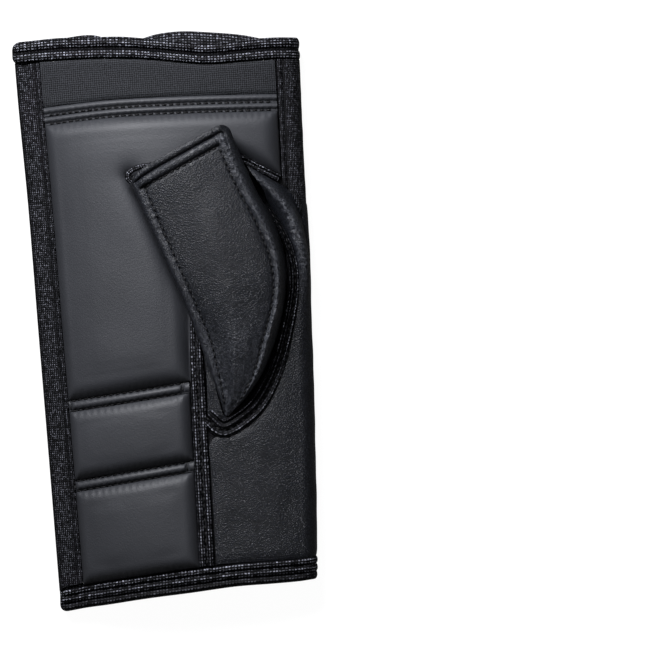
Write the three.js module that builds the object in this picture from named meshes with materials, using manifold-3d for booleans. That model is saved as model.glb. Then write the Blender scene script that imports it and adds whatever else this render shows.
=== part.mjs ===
import * as THREE from "three";
import { mergeVertices } from "three/addons/utils/BufferGeometryUtils.js";
import Module from "manifold-3d";

// A long-cuff push glove for a wheelchair user's right hand, lying empty on its back with the palm up.
// Millimetres. +X is the thumb side, +Y the finger end and +Z the palm's outer face. The floor is z = 0.

const { lerp, clamp, smoothstep } = THREE.MathUtils;

// Thickness of each layer, and the gap that neighbouring layers keep.
const LEATHER = 1.3;
const WALL = 2.4;
const LOOP = 1.2;
const FLAP = 1.6;
const PATCH = 0.8;
const GAP = 0.3;
const PAD_CROWN = 4.2;
const RIDGE_CROWN = 1.8;

// Widths of the woven binding tape.
const END_TAPE = 8.6;
const PINKY_TAPE = 9.3;
const FLAP_TAPE = 4.6;
const EDGE_REACH = 2.7;

// The thumb side is a rounded fold that stands out past the flat of the palm.
const FOLD_REACH = 6;
const FOLD_LENGTH = 22;
const FOLD_SEAM = 0.55 * FOLD_LENGTH;
const FOLD_EDGE = 0.69 * FOLD_LENGTH;

// Heights of the back's outer layers above the floor.
const BACK_LEVEL = 0.9;
const LOOP_LEVEL = 0.4;
const FLAP_LIFT = BACK_LEVEL + FLAP + GAP - LOOP_LEVEL;
const FIN_SPLIT = 4.65;

// The glove's two long edges.
const EDGES = [
  { y: -118, pinky: -51.3, thumb: 51.7 },
  { y: -100, pinky: -51.8, thumb: 52.5 },
  { y: -50, pinky: -53.0, thumb: 54.5 },
  { y: 0, pinky: -54.3, thumb: 56.0 },
  { y: 22, pinky: -54.8, thumb: 56.7 },
  { y: 50, pinky: -55.5, thumb: 56.4 },
  { y: 100, pinky: -57.1, thumb: 57.0 },
  { y: 118, pinky: -57.4, thumb: 57.3 },
];

// How high the palm's outer face arches, from the pinky edge at 0 to the thumb edge at 1.
const PALM_ARCH = [
  { across: 0.0, rise: 7.0 },
  { across: 0.08, rise: 9.0 },
  { across: 0.17, rise: 13.0 },
  { across: 0.32, rise: 17.8 },
  { across: 0.5, rise: 20.4 },
  { across: 0.7, rise: 21.0 },
  { across: 0.86, rise: 19.6 },
  { across: 0.95, rise: 17.8 },
];

// Where the palm and the back end, at the fingers and at the wrist. The back stands a little past the palm.
const ENDS = [
  { x: -58, palmFingers: 114.8, palmWrist: -116.0, backFingers: 113.6, backWrist: -115.2 },
  { x: -50, palmFingers: 115.2, palmWrist: -116.2, backFingers: 114.8, backWrist: -115.2 },
  { x: -40, palmFingers: 115.0, palmWrist: -114.6, backFingers: 115.6, backWrist: -113.8 },
  { x: -26, palmFingers: 114.7, palmWrist: -112.9, backFingers: 116.4, backWrist: -112.2 },
  { x: -17, palmFingers: 114.1, palmWrist: -112.0, backFingers: 113.7, backWrist: -111.2 },
  { x: -9, palmFingers: 113.5, palmWrist: -111.2, backFingers: 113.3, backWrist: -110.4 },
  { x: 0, palmFingers: 112.4, palmWrist: -110.4, backFingers: 115.3, backWrist: -109.6 },
  { x: 10, palmFingers: 110.8, palmWrist: -109.7, backFingers: 115.9, backWrist: -108.9 },
  { x: 20, palmFingers: 109.6, palmWrist: -109.1, backFingers: 115.0, backWrist: -108.3 },
  { x: 35, palmFingers: 109.8, palmWrist: -108.7, backFingers: 112.9, backWrist: -107.9 },
  { x: 48, palmFingers: 110.2, palmWrist: -108.4, backFingers: 109.6, backWrist: -107.6 },
  { x: 58, palmFingers: 109.8, palmWrist: -107.8, backFingers: 108.8, backWrist: -107.2 },
];

// The sewn rows that cross the palm: each row is the middle of a stitched tuck.
const CROSSINGS = [
  { x: -48, fingerTuck: 86.0, padTuck: 82.2, heelTuck: -34.0, wristTuck: -66.6 },
  { x: -20, fingerTuck: 87.2, padTuck: 83.6, heelTuck: -31.2, wristTuck: -63.2 },
  { x: 6, fingerTuck: 87.0, padTuck: 83.5, heelTuck: -28.4, wristTuck: -60.2 },
  { x: 48, fingerTuck: 85.8, padTuck: 82.4, heelTuck: -24.0, wristTuck: -56.0 },
];
const FINGER_TUCK_WIDTH = 3.3;
const HEEL_TUCK_WIDTH = 4.2;

// The tape that runs up the palm's seam and on round the finger side of the thumb's opening.
const SEAM_TAPE = [
  { x: 8.6, y: -100.6, width: 6.0 },
  { x: 8.8, y: -60, width: 6.0 },
  { x: 9.0, y: -30, width: 5.8 },
  { x: 9.4, y: -8, width: 5.0 },
  { x: 10.8, y: 15, width: 4.4 },
  { x: 13.4, y: 36, width: 4.2 },
  { x: 17.0, y: 50.5, width: 4.0 },
  { x: 21.6, y: 58.6, width: 3.6 },
  { x: 26.8, y: 61.9, width: 3.2 },
  { x: 32.0, y: 61.3, width: 3.0 },
  { x: 38.4, y: 57.6, width: 2.8 },
  { x: 46.2, y: 53.2, width: 2.8 },
];

// The bound edge of the leather on the thumb's side of the same opening.
const THUMB_TAPE = [
  { x: 14.3, y: -42.4, width: 5.2 },
  { x: 16.4, y: -44.8, width: 5.8 },
  { x: 19.6, y: -45.6, width: 6.0 },
  { x: 26.2, y: -42.2, width: 5.8 },
  { x: 32.8, y: -36.8, width: 5.4 },
  { x: 38.4, y: -28.4, width: 4.8 },
  { x: 42.8, y: -18.8, width: 4.2 },
  { x: 46.2, y: -8, width: 3.8 },
  { x: 48.8, y: 2, width: 3.4 },
  { x: 50.2, y: 11, width: 3.2 },
  { x: 50.1, y: 20.5, width: 3.0 },
  { x: 48.4, y: 29, width: 3.0 },
  { x: 45.4, y: 36.5, width: 3.0 },
  { x: 41.8, y: 43.6, width: 3.0 },
];

// The opening for the thumb in the palm's wall.
const THUMB_HOLE = [
  { x: 14.6, y: -40.6 },
  { x: 12.4, y: -37 },
  { x: 12.0, y: -12 },
  { x: 13.6, y: 18 },
  { x: 16.2, y: 36 },
  { x: 20.4, y: 50.5 },
  { x: 25.2, y: 57.6 },
  { x: 31.4, y: 58.2 },
  { x: 37.0, y: 54.2 },
  { x: 41.6, y: 46 },
  { x: 45.4, y: 34 },
  { x: 47.8, y: 21 },
  { x: 47.6, y: 8 },
  { x: 43.8, y: -7 },
  { x: 37.6, y: -23 },
  { x: 30.0, y: -34.4 },
  { x: 21.4, y: -40.8 },
];

// The thumb stall, row by row from its point at the heel to its mouth. Rises are above the palm.
const STALL = [
  { freeX: 19.2, freeY: -40.4, baseX: 20.6, baseY: -40.8, free: 0.6, crown: 1.8, base: 0.4 },
  { freeX: 17.4, freeY: -33, baseX: 28.2, baseY: -33.8, free: 1.5, crown: 6.2, base: 0.4 },
  { freeX: 14.0, freeY: -21.5, baseX: 36.2, baseY: -23, free: 3.4, crown: 10.6, base: 0.4 },
  { freeX: 9.5, freeY: -6, baseX: 42.8, baseY: -7.5, free: 6.0, crown: 13.4, base: 0.4 },
  { freeX: 4.0, freeY: 9.5, baseX: 46.6, baseY: 8, free: 8.2, crown: 14.6, base: 0.4 },
  { freeX: -1.5, freeY: 24, baseX: 47.2, baseY: 21.5, free: 8.8, crown: 14.8, base: 0.4 },
  { freeX: -6.0, freeY: 36, baseX: 43.4, baseY: 36, free: 8.8, crown: 14.6, base: 1.6 },
  { freeX: -9.6, freeY: 45.5, baseX: 37.6, baseY: 48, free: 8.8, crown: 14.2, base: 5.4 },
  { freeX: -12.2, freeY: 52.5, baseX: 32.2, baseY: 61.5, free: 8.8, crown: 13.8, base: 8.6 },
  { freeX: -14.0, freeY: 57.6, baseX: 27.0, baseY: 77.2, free: 8.8, crown: 13.6, base: 8.8 },
];

// The stall's under panel: it starts beside the seam tape and climbs over the pad.
const STALL_UNDER = [
  { leftX: 13.0, leftY: -37, rightX: 17.4, rightY: -37.4, left: 0.6, middle: 0.4, right: 0.6 },
  { leftX: 12.6, leftY: -21, rightX: 14.8, rightY: -21, left: 1.0, middle: 1.0, right: 1.0 },
  { leftX: 10.4, leftY: -6, rightX: 14.2, rightY: -5, left: 3.6, middle: 2.6, right: 2.0 },
  { leftX: 5.2, leftY: 9.2, rightX: 15.6, rightY: 9, left: 6.4, middle: 5.0, right: 1.4 },
  { leftX: -0.4, leftY: 24, rightX: 17.4, rightY: 23.6, left: 7.0, middle: 5.0, right: 1.2 },
  { leftX: -4.9, leftY: 36, rightX: 19.6, rightY: 36.4, left: 7.0, middle: 4.9, right: 1.2 },
  { leftX: -8.5, leftY: 45.5, rightX: 24.0, rightY: 48.6, left: 7.0, middle: 4.9, right: 2.6 },
  { leftX: -11.1, leftY: 52.7, rightX: 30.6, rightY: 61, left: 7.0, middle: 4.9, right: 6.6 },
  { leftX: -12.9, leftY: 57.4, rightX: 26.0, rightY: 76.4, left: 7.0, middle: 4.9, right: 6.8 },
];

// The middle of the binding on the closure flap, and of the edge it runs on into, seen through the back.
const FLAP_TAPE_PATH = [
  { x: 53.6, y: 100.0 },
  { x: 53.3, y: 80 },
  { x: 52.9, y: 60 },
  { x: 51.8, y: 52.6 },
  { x: 47.4, y: 49.4 },
  { x: 38, y: 48.4 },
  { x: 26, y: 47.6 },
  { x: 16, y: 45.6 },
  { x: 8.6, y: 41 },
  { x: 3.8, y: 34 },
  { x: 1.4, y: 25 },
  { x: 0.4, y: 10 },
  { x: 0.8, y: -6 },
  { x: 2.8, y: -16 },
  { x: 7.0, y: -25 },
  { x: 13, y: -30.8 },
  { x: 20, y: -32.4 },
  { x: 30, y: -30.8 },
  { x: 41, y: -28.8 },
  { x: 47.6, y: -29.6 },
  { x: 50.6, y: -36 },
  { x: 50.8, y: -55 },
  { x: 50.2, y: -76 },
  { x: 49.2, y: -98.8 },
];
const FLAP_FIRST = 4;
const FLAP_LAST = 18;

// The blank patch sewn on the flap.
const PATCH_SIZE = { width: 46, height: 34.5 };
const PATCH_MIDDLE = { x: 28.4, y: 7.5, turn: 6.5 };

// A smooth curve through two columns of a table.
function curveThrough(rows, from, to) {
  const last = rows.length - 1;
  const step = (i) => (rows[i + 1][to] - rows[i][to]) / (rows[i + 1][from] - rows[i][from]);
  const slope = (i) => (step(clamp(i - 1, 0, last - 1)) + step(clamp(i, 0, last - 1))) / 2;
  return (at) => {
    let i = 0;
    while (i < last - 1 && at > rows[i + 1][from]) i += 1;
    const span = rows[i + 1][from] - rows[i][from];
    const t = clamp((at - rows[i][from]) / span, 0, 1);
    const ease = t * t * (3 - 2 * t);
    const lead = t * (1 - t) * ((1 - t) * slope(i) - t * slope(i + 1)) * span;
    return lerp(rows[i][to], rows[i + 1][to], ease) + lead;
  };
}

// A column of a table as a function of how far down the table one is, from 0 to 1.
function column(rows, name) {
  const numbered = rows.map((row, i) => ({ at: i / (rows.length - 1), value: row[name] }));
  return curveThrough(numbered, "at", "value");
}

const pinkyEdge = curveThrough(EDGES, "y", "pinky");
const thumbEdge = curveThrough(EDGES, "y", "thumb");
const archRise = curveThrough(PALM_ARCH, "across", "rise");
const palmFingers = curveThrough(ENDS, "x", "palmFingers");
const palmWrist = curveThrough(ENDS, "x", "palmWrist");
const backFingers = curveThrough(ENDS, "x", "backFingers");
const backWrist = curveThrough(ENDS, "x", "backWrist");
const fingerTuck = curveThrough(CROSSINGS, "x", "fingerTuck");
const padTuck = curveThrough(CROSSINGS, "x", "padTuck");
const heelTuck = curveThrough(CROSSINGS, "x", "heelTuck");
const wristTuck = curveThrough(CROSSINGS, "x", "wristTuck");

const foldStart = (y) => thumbEdge(y) - FOLD_REACH;
const pinkyInner = (y) => pinkyEdge(y) + PINKY_TAPE + GAP;

// Height of the palm's outer face.
function palmHeight(x, y) {
  return archRise((x - pinkyEdge(y)) / (thumbEdge(y) - pinkyEdge(y)));
}

// How far the back's inner layers are lifted where the flap, or the turned-in edge, lies under them.
function backLift(x, y) {
  const underFlap = smoothstep(x, -24, -4) * smoothstep(y, -56, -36) * (1 - smoothstep(y, 53, 73));
  const underEdge = smoothstep(x, foldStart(y) - 18, foldStart(y) - 1.5);
  return FLAP_LIFT * Math.max(underFlap, underEdge);
}

// A point of the outer skin: along is zero where the thumb-side fold starts, less on the palm, and runs on
// round the fold and over the back. Outward is the distance out from the skin.
function skin(along, y, outward) {
  const start = foldStart(y);
  if (along <= 0) return new THREE.Vector3(start + along, y, palmHeight(start + along, y) + outward);
  if (along >= FOLD_LENGTH) {
    return new THREE.Vector3(start + FOLD_LENGTH - along, y, BACK_LEVEL - outward);
  }
  const top = palmHeight(start, y);
  const middle = (top + BACK_LEVEL) / 2;
  const turn = (along / FOLD_LENGTH) * Math.PI;
  return new THREE.Vector3(
    start + (FOLD_REACH + outward) * Math.sin(turn),
    y,
    middle + (top - middle + outward) * Math.cos(turn),
  );
}

// The along of a point that is seen at x from the palm, or through the back.
function alongPalm(x, y) {
  const past = x - foldStart(y);
  return past <= 0 ? past : (Math.asin(Math.min(1, past / FOLD_REACH)) / Math.PI) * FOLD_LENGTH;
}

function alongBack(x, y) {
  const past = x - foldStart(y);
  return past <= 0 ? FOLD_LENGTH - past : FOLD_LENGTH - alongPalm(x, y);
}

// A closed geometry's volume has the sign of the way its faces point, so a negative one is turned round.
function facingOut(geometry) {
  const position = geometry.getAttribute("position");
  const corner = (i) => new THREE.Vector3().fromBufferAttribute(position, geometry.index.getX(i));
  let volume = 0;
  for (let i = 0; i < geometry.index.count; i += 3) {
    volume += corner(i).dot(corner(i + 1).cross(corner(i + 2)));
  }
  if (volume < 0) geometry.index.array.reverse();
  geometry.computeVertexNormals();
  return geometry;
}

// A sheet of cloth: a box of many small faces, whose point (across, along, layer) is put where place says.
function sheet(columns, rows, place) {
  const geometry = new THREE.BoxGeometry(1, 1, 1, columns, rows, 1);
  const position = geometry.getAttribute("position");
  for (let i = 0; i < position.count; i += 1) {
    const spot = [position.getX(i) + 0.5, position.getY(i) + 0.5, position.getZ(i) + 0.5];
    const point = place(...spot);
    position.setXYZ(i, point.x, point.y, point.z);
  }
  return facingOut(geometry);
}

// A four-sided field of cloth, with sides that follow y and ends that follow x.
function field(left, right, low, high) {
  const refine = (across, up, y) => {
    const x = lerp(left(y), right(y), across);
    return { x, y: lerp(low(x), high(x), up) };
  };
  return (across, up) => refine(across, up, refine(across, up, lerp(low(0), high(0), up)).y);
}

// A row of columns over the thumb-side fold: the share on the flat takes fewer of them than the fold.
function overFold(from, to, share) {
  if (from >= 0) return (across) => lerp(from, to, across);
  const bend = share * smoothstep(-from, 0, 20);
  return (across) =>
    across < bend ? lerp(from, 0, across / bend) : lerp(0, to, (across - bend) / (1 - bend));
}

// Columns that stand closer together at a padded field's sewn edges.
const crowded = (t) => t - (0.62 * Math.sin(2 * Math.PI * t)) / (2 * Math.PI);

// A flat layer on the palm between two heights above the palm's face.
function palmLayer(columns, rows, shape, under, over) {
  return sheet(columns, rows, (across, up, layer) => {
    const { x, y } = shape(across, up);
    const rise = layer === 0 ? under : over(across, up);
    return new THREE.Vector3(x, y, palmHeight(x, y) + rise);
  });
}

// A padded field is full in the middle and rounds down to its sewn edges.
function paddedLayer(columns, rows, shape, crown, width, height, roll) {
  const side = (share, length) => 1 - (1 - clamp((Math.min(share, 1 - share) * length) / roll, 0, 1)) ** 2.4;
  const spread = (across, up) => shape(crowded(across), crowded(up));
  const over = (across, up) => crown * side(crowded(across), width) * side(crowded(up), height);
  return palmLayer(columns, rows, spread, -LEATHER, over);
}

// A layer of the back between two heights over the loop panels' outer level.
function backLayer(columns, rows, shape, lower, upper) {
  return sheet(columns, rows, (across, up, layer) => {
    const { x, y } = shape(across, up);
    const height = LOOP_LEVEL + backLift(x, y) + (layer === 0 ? upper : lower);
    return new THREE.Vector3(x, y, height);
  });
}

// Paths on the unrolled skin: rows whose x is how far along the skin they are.
const onPalm = (path) => path.map((row) => ({ ...row, x: alongPalm(row.x, row.y) }));
const onBack = (path) => path.map((row) => ({ ...row, x: alongBack(row.x, row.y) }));

// The point at a share of a path's rows, moved off to the right of its course.
function course(path) {
  const x = column(path, "x");
  const y = column(path, "y");
  return (at, off) => {
    const ahead = Math.min(at + 0.002, 1);
    const behind = Math.max(at - 0.002, 0);
    const forward = new THREE.Vector2(x(ahead) - x(behind), y(ahead) - y(behind)).normalize();
    return { x: x(at) + forward.y * off, y: y(at) - forward.x * off };
  };
}

// Points that follow one side of a tape, a small clearance away from its edge.
function beside(path, { from = 0, to = 1, count, side, clearance }) {
  const spot = course(path);
  const width = column(path, "width");
  return Array.from({ length: count }, (_, i) => {
    const at = lerp(from, to, i / (count - 1));
    return spot(at, side * (width(at) / 2 + clearance));
  });
}

// A tape laid on the skin along a path, rounded over its width, between two distances out from the skin.
function tape(path, segments, inner, crown) {
  const spot = course(path);
  const width = column(path, "width");
  return sheet(3, segments, (across, at, layer) => {
    const { x, y } = spot(at, (across - 0.5) * width(at));
    const roundness = Math.sqrt(1 - Math.abs(2 * across - 1) ** 2.5);
    return skin(x, y, layer === 0 ? inner : crown * roundness);
  });
}

// An upright prism over an outline of {x, y} points, from one height to another.
function extrusion(outline, low, high) {
  const shape = new THREE.Shape(outline.map(({ x, y }) => new THREE.Vector2(x, y)));
  const geometry = new THREE.ExtrudeGeometry(shape, { depth: high - low, bevelEnabled: false });
  return geometry.translate(0, 0, low);
}

const wasm = await Module();
wasm.setup();

function solid(geometry) {
  const bare = geometry.clone();
  bare.deleteAttribute("normal");
  bare.deleteAttribute("uv");
  const merged = mergeVertices(bare, 1e-3);
  return new wasm.Manifold(
    new wasm.Mesh({
      numProp: 3,
      vertProperties: merged.getAttribute("position").array,
      triVerts: new Uint32Array(merged.index.array),
    }),
  );
}

function geometryOf(manifold) {
  const { numProp, vertProperties, triVerts } = manifold.getMesh();
  const geometry = new THREE.BufferGeometry();
  const interleaved = new THREE.InterleavedBuffer(vertProperties, numProp);
  geometry.setAttribute("position", new THREE.InterleavedBufferAttribute(interleaved, 3, 0));
  geometry.setIndex(new THREE.BufferAttribute(triVerts, 1));
  geometry.computeVertexNormals();
  return geometry;
}

const cutBy = (geometry, cutter) => geometryOf(solid(geometry).subtract(solid(cutter)));
const keptIn = (geometry, cutter) => geometryOf(solid(geometry).intersect(solid(cutter)));

// Finishes.
const finish = (color, roughness) => new THREE.MeshStandardMaterial({ color, roughness, metalness: 0 });
const SMOOTH_LEATHER = finish("#3c3c3f", 0.5);
const GRAINED_LEATHER = finish("#2c2d30", 0.45);
const WOVEN_TAPE = finish("#161618", 0.7);
const LOOP_PILE = finish("#0f0f11", 0.95);
const KNIT_CLOTH = finish("#19191b", 0.85);
const TWILL_CLOTH = finish("#121213", 0.8);
const BAND_CLOTH = finish("#37383b", 0.75);
const PATCH_LEATHER = finish("#29292b", 0.6);

const glove = new THREE.Group();

function add(name, geometry, material) {
  const mesh = new THREE.Mesh(geometry, material);
  mesh.name = name;
  glove.add(mesh);
}

// The palm's padded wall, which turns down inside the thumb-side fold, with the opening for the thumb.
function palmPanel() {
  const inner = -(LEATHER + GAP + WALL);
  const outer = -(LEATHER + GAP);
  const wall = sheet(18, 10, (across, up, layer) => {
    const alongAt = (y) => overFold(pinkyInner(y) - foldStart(y), FOLD_SEAM - 0.7, 0.64)(across);
    const near = lerp(-105, 105, up);
    const seenX = skin(alongAt(near), near, 0).x;
    const low = palmWrist(seenX) + END_TAPE + GAP;
    const high = palmFingers(seenX) - END_TAPE - GAP;
    const y = lerp(low, high, up);
    return skin(alongAt(y), y, layer === 0 ? inner : outer);
  });
  const rim = new THREE.SplineCurve([...THUMB_HOLE, THUMB_HOLE[0]].map(({ x, y }) => new THREE.Vector2(x, y)));
  return cutBy(wall, extrusion(rim.getPoints(30).slice(0, -1), 0, 60));
}

// The smooth leather pad over the palm, cut away round the thumb's opening.
function palmPad() {
  const shape = field(pinkyInner, () => 47.3, (x) => heelTuck(x) + HEEL_TUCK_WIDTH / 2 + GAP,
    (x) => padTuck(x) - FINGER_TUCK_WIDTH / 2 - GAP);
  const pad = paddedLayer(14, 14, shape, PAD_CROWN, 92, 110, 7);
  const edge = beside(onPalm(SEAM_TAPE), { from: 0.14, count: 24, side: -1, clearance: GAP + 0.1 });
  const besideTape = edge.map(({ x, y }) => skin(x, y, 0));
  const away = [{ x: 62, y: 44 }, { x: 62, y: -60 }, { x: besideTape[0].x, y: -60 }];
  return cutBy(pad, extrusion([...besideTape, ...away], 0, 60));
}

function palmPieces() {
  const innerThumb = () => 47.3;
  const seamSide = () => 5.3;
  const tuck = (row, width) => [(x) => row(x) - width / 2, (x) => row(x) + width / 2];
  add("palm_panel", palmPanel(), KNIT_CLOTH);
  add("palm_pad", palmPad(), SMOOTH_LEATHER);
  const band = field(pinkyInner, innerThumb, (x) => fingerTuck(x) + FINGER_TUCK_WIDTH / 2 + GAP,
    (x) => palmFingers(x) - END_TAPE - GAP);
  add("finger_band", palmLayer(14, 2, band, -LEATHER, () => 0), BAND_CLOTH);
  const heel = [
    ["heel_pad", heelTuck, wristTuck],
    ["wrist_pad", wristTuck, (x) => palmWrist(x) + END_TAPE - HEEL_TUCK_WIDTH / 2],
  ];
  heel.forEach(([name, above, below]) => {
    const low = (x) => below(x) + HEEL_TUCK_WIDTH / 2 + GAP;
    const high = (x) => above(x) - HEEL_TUCK_WIDTH / 2 - GAP;
    const shape = field(pinkyInner, seamSide, low, high);
    add(name, paddedLayer(8, 6, shape, PAD_CROWN, 49, 30, 6), SMOOTH_LEATHER);
  });
  const tucks = [
    ["finger_tuck", fingerTuck, FINGER_TUCK_WIDTH, innerThumb],
    ["pad_tuck", padTuck, FINGER_TUCK_WIDTH - GAP, innerThumb],
    ["heel_tuck", heelTuck, HEEL_TUCK_WIDTH, seamSide],
    ["wrist_tuck", wristTuck, HEEL_TUCK_WIDTH, seamSide],
  ];
  tucks.forEach(([name, row, width, end]) => {
    const shape = field(pinkyInner, end, ...tuck(row, width));
    const roll = (across, up) => RIDGE_CROWN * Math.sin(Math.PI * up);
    add(name, palmLayer(10, 2, shape, -LEATHER, roll), SMOOTH_LEATHER);
  });
}

// The leather on the thumb's side, from the seam tape and the thumb's opening round the fold.
function thumbGusset() {
  const straight = onPalm([-99.6, -90, -80, -70, -60, -52].map((y) => ({ x: 12.4, y })));
  const bound = beside(onPalm(THUMB_TAPE), { from: 0.1, count: 18, side: 1, clearance: 0.5 });
  const rows = [...straight, ...bound, ...onPalm([{ x: 40.2, y: 51 }, { x: 36.2, y: 56.4 }])];
  const turnedIn = (y) => lerp(FOLD_EDGE, FOLD_SEAM - 0.7, smoothstep(y, -38, -29));
  const ladder = rows.map(({ x, y }, i) => {
    const outerY = lerp(-99, 38.5, (i / (rows.length - 1)) ** 1.2);
    return { innerAlong: x, innerY: y, outerAlong: turnedIn(outerY), outerY };
  });
  const [innerAlong, innerY, outerAlong, outerY] = ["innerAlong", "innerY", "outerAlong", "outerY"].map(
    (name) => column(ladder, name),
  );
  return sheet(8, 26, (across, up, layer) => {
    const from = innerAlong(up);
    const along = overFold(from, outerAlong(up), 0.4)(across);
    const y = lerp(innerY(up), outerY(up), (along - from) / (outerAlong(up) - from));
    return skin(along, y, layer === 0 ? -LEATHER : 0);
  });
}

// The stall's domed top: its free edge floats over the pad, and its other edge comes down to the opening.
function stallTop() {
  const [freeX, freeY, baseX, baseY, free, crown, base] = [
    "freeX", "freeY", "baseX", "baseY", "free", "crown", "base",
  ].map((name) => column(STALL, name));
  return sheet(12, 18, (across, up, layer) => {
    const inset = layer === 0 ? lerp(0.035, 0.965, across) : across;
    const x = lerp(freeX(up), baseX(up), inset);
    const y = lerp(freeY(up), baseY(up), inset);
    const side = across < 0.5 ? free(up) : base(up);
    const dome = Math.sqrt(Math.max(0, 1 - Math.abs(2 * across - 1) ** 2.8));
    const top = Math.max(crown(up) - (layer === 0 ? LEATHER : 0), side + (layer === 0 ? 0 : 0.9));
    return new THREE.Vector3(x, y, palmHeight(x, y) + side + (top - side) * dome);
  });
}

function stallUnder() {
  const [leftX, leftY, rightX, rightY, left, middle, right] = [
    "leftX", "leftY", "rightX", "rightY", "left", "middle", "right",
  ].map((name) => column(STALL_UNDER, name));
  return sheet(8, 14, (across, up, layer) => {
    const x = lerp(leftX(up), rightX(up), across);
    const y = lerp(leftY(up), rightY(up), across);
    const fromLeft = (1 - clamp(across / 0.16, 0, 1)) ** 2;
    const fromRight = (1 - clamp((1 - across) / 0.18, 0, 1)) ** 2;
    const rise = middle(up) + (left(up) - middle(up)) * fromLeft + (right(up) - middle(up)) * fromRight;
    return new THREE.Vector3(x, y, palmHeight(x, y) + rise + (layer === 0 ? 0 : LEATHER));
  });
}

// The binding down the pinky side clamps the palm's wall and the back's wall together in a rounded fin.
function pinkyBinding() {
  const round = 0.3;
  return sheet(6, 8, (across, up, layer) => {
    const near = lerp(-105, 104, up);
    const x = pinkyEdge(near) + across * PINKY_TAPE;
    const fingers = Math.min(palmFingers(x), backFingers(x)) - END_TAPE - GAP;
    const wrist = Math.max(palmWrist(x), backWrist(x)) + END_TAPE + GAP;
    const y = lerp(wrist, fingers, up);
    const top = palmHeight(x, y);
    const fullness = Math.sqrt(1 - (1 - clamp(across / round, 0, 1)) ** 2);
    return new THREE.Vector3(x, y, top / 2 + (layer === 0 ? -1 : 1) * (top / 2) * Math.max(fullness, 0.15));
  });
}

// The tape on the thumb side's upper edge, from the palm's face to the flap's binding.
function thumbEdgeBinding() {
  const lowEnd = curveThrough(
    [
      { along: -EDGE_REACH, y: 51.8 },
      { along: 4, y: 45.6 },
      { along: 10, y: 40.6 },
      { along: 12, y: 44 },
      { along: 15.3, y: 55.5 },
    ],
    "along",
    "y",
  );
  return sheet(7, 5, (across, up, layer) => {
    const along = lerp(-EDGE_REACH, FOLD_EDGE, across);
    const seenX = skin(along, 80, 0).x;
    const y = lerp(lowEnd(along), palmFingers(seenX) - END_TAPE - GAP, up);
    return skin(along, y, layer === 0 ? -LEATHER : 0);
  });
}

// The tape round the palm's end, from the pinky edge to the turned-in thumb edge.
function palmEndBinding(end, inward) {
  return sheet(18, 2, (across, up, layer) => {
    const near = end(0);
    const along = overFold(pinkyEdge(near) - foldStart(near), 0.97 * FOLD_LENGTH, 0.5)(across);
    const y = end(skin(along, near, 0).x) + inward * up * END_TAPE;
    const thick = lerp(LEATHER + GAP + WALL + 0.6, FLAP, smoothstep(along, 2, 0.5 * FOLD_LENGTH));
    const proud = up === 0.5 ? 0.5 : 0;
    const point = skin(along, y, layer === 0 ? -thick : proud);
    return layer === 0 && along < 0 ? point.setZ(Math.max(point.z, FIN_SPLIT + GAP / 2)) : point;
  });
}

// The tape round the back's end, from the pinky edge to inside the thumb-side fold.
function backEndBinding(end, inward) {
  return sheet(16, 1, (across, up, layer) => {
    const near = end(0);
    const x = lerp(pinkyEdge(near), foldStart(near) - 0.2, across);
    const y = end(x) + inward * up * END_TAPE;
    const outer = backLift(x, y);
    const inner = LOOP_LEVEL + outer + LOOP + GAP + WALL + 0.3;
    const fin = smoothstep(x, pinkyInner(near), pinkyInner(near) + 8);
    const upper = Math.min(inner, lerp(FIN_SPLIT - GAP / 2, inner, fin));
    return new THREE.Vector3(x, y, layer === 0 ? outer : upper);
  });
}

function bindings() {
  add("pinky_binding", pinkyBinding(), WOVEN_TAPE);
  add("thumb_edge_binding", thumbEdgeBinding(), WOVEN_TAPE);
  add("palm_finger_binding", palmEndBinding(palmFingers, -1), WOVEN_TAPE);
  add("palm_wrist_binding", palmEndBinding(palmWrist, 1), WOVEN_TAPE);
  add("back_finger_binding", backEndBinding(backFingers, -1), WOVEN_TAPE);
  add("back_wrist_binding", backEndBinding(backWrist, 1), WOVEN_TAPE);
  add("seam_tape", tape(onPalm(SEAM_TAPE), 28, -LEATHER, 1.5), WOVEN_TAPE);
  add("thumb_binding", tape(onPalm(THUMB_TAPE), 26, -LEATHER, 1.8), WOVEN_TAPE);
}

function thumbPieces() {
  add("thumb_gusset", thumbGusset(), GRAINED_LEATHER);
  add("thumb_stall_top", stallTop(), GRAINED_LEATHER);
  add("thumb_stall_under", stallUnder(), GRAINED_LEATHER);
}

// The closure flap comes round the fold and lies over the loop panels; its free edge is bound.
function flapPieces() {
  const path = onBack(FLAP_TAPE_PATH.map((row) => ({ ...row, width: FLAP_TAPE })));
  const [from, to] = [FLAP_FIRST, FLAP_LAST].map((i) => i / (path.length - 1));
  const body = beside(path, { from, to, count: 34, side: 1, clearance: GAP });
  const root = [{ x: 50, y: -26.4 }, { x: 62, y: -27.4 }, { x: 62, y: 40 }, { x: 50, y: 46.2 }];
  const outline = extrusion([...body.map(({ x, y }) => skin(x, y, 0)), ...root], -2, 10);
  const cloth = sheet(8, 6, (across, up, layer) => {
    const around = lerp(FOLD_SEAM, FOLD_LENGTH, across / 0.625);
    const along = across < 0.625 ? around : lerp(FOLD_LENGTH, FOLD_LENGTH + 52, (across - 0.625) / 0.375);
    return skin(along, lerp(-40, 56, up), layer === 0 ? -FLAP : 0);
  });
  add("closure_flap", keptIn(cloth, outline), TWILL_CLOTH);
  add("flap_binding", tape(path, 56, -FLAP, BACK_LEVEL - 0.1), WOVEN_TAPE);
  const patch = new THREE.BoxGeometry(PATCH_SIZE.width, PATCH_SIZE.height, PATCH);
  patch.rotateZ(THREE.MathUtils.degToRad(PATCH_MIDDLE.turn));
  patch.translate(PATCH_MIDDLE.x, PATCH_MIDDLE.y, PATCH / 2);
  add("flap_patch", patch, PATCH_LEATHER);
}

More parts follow.
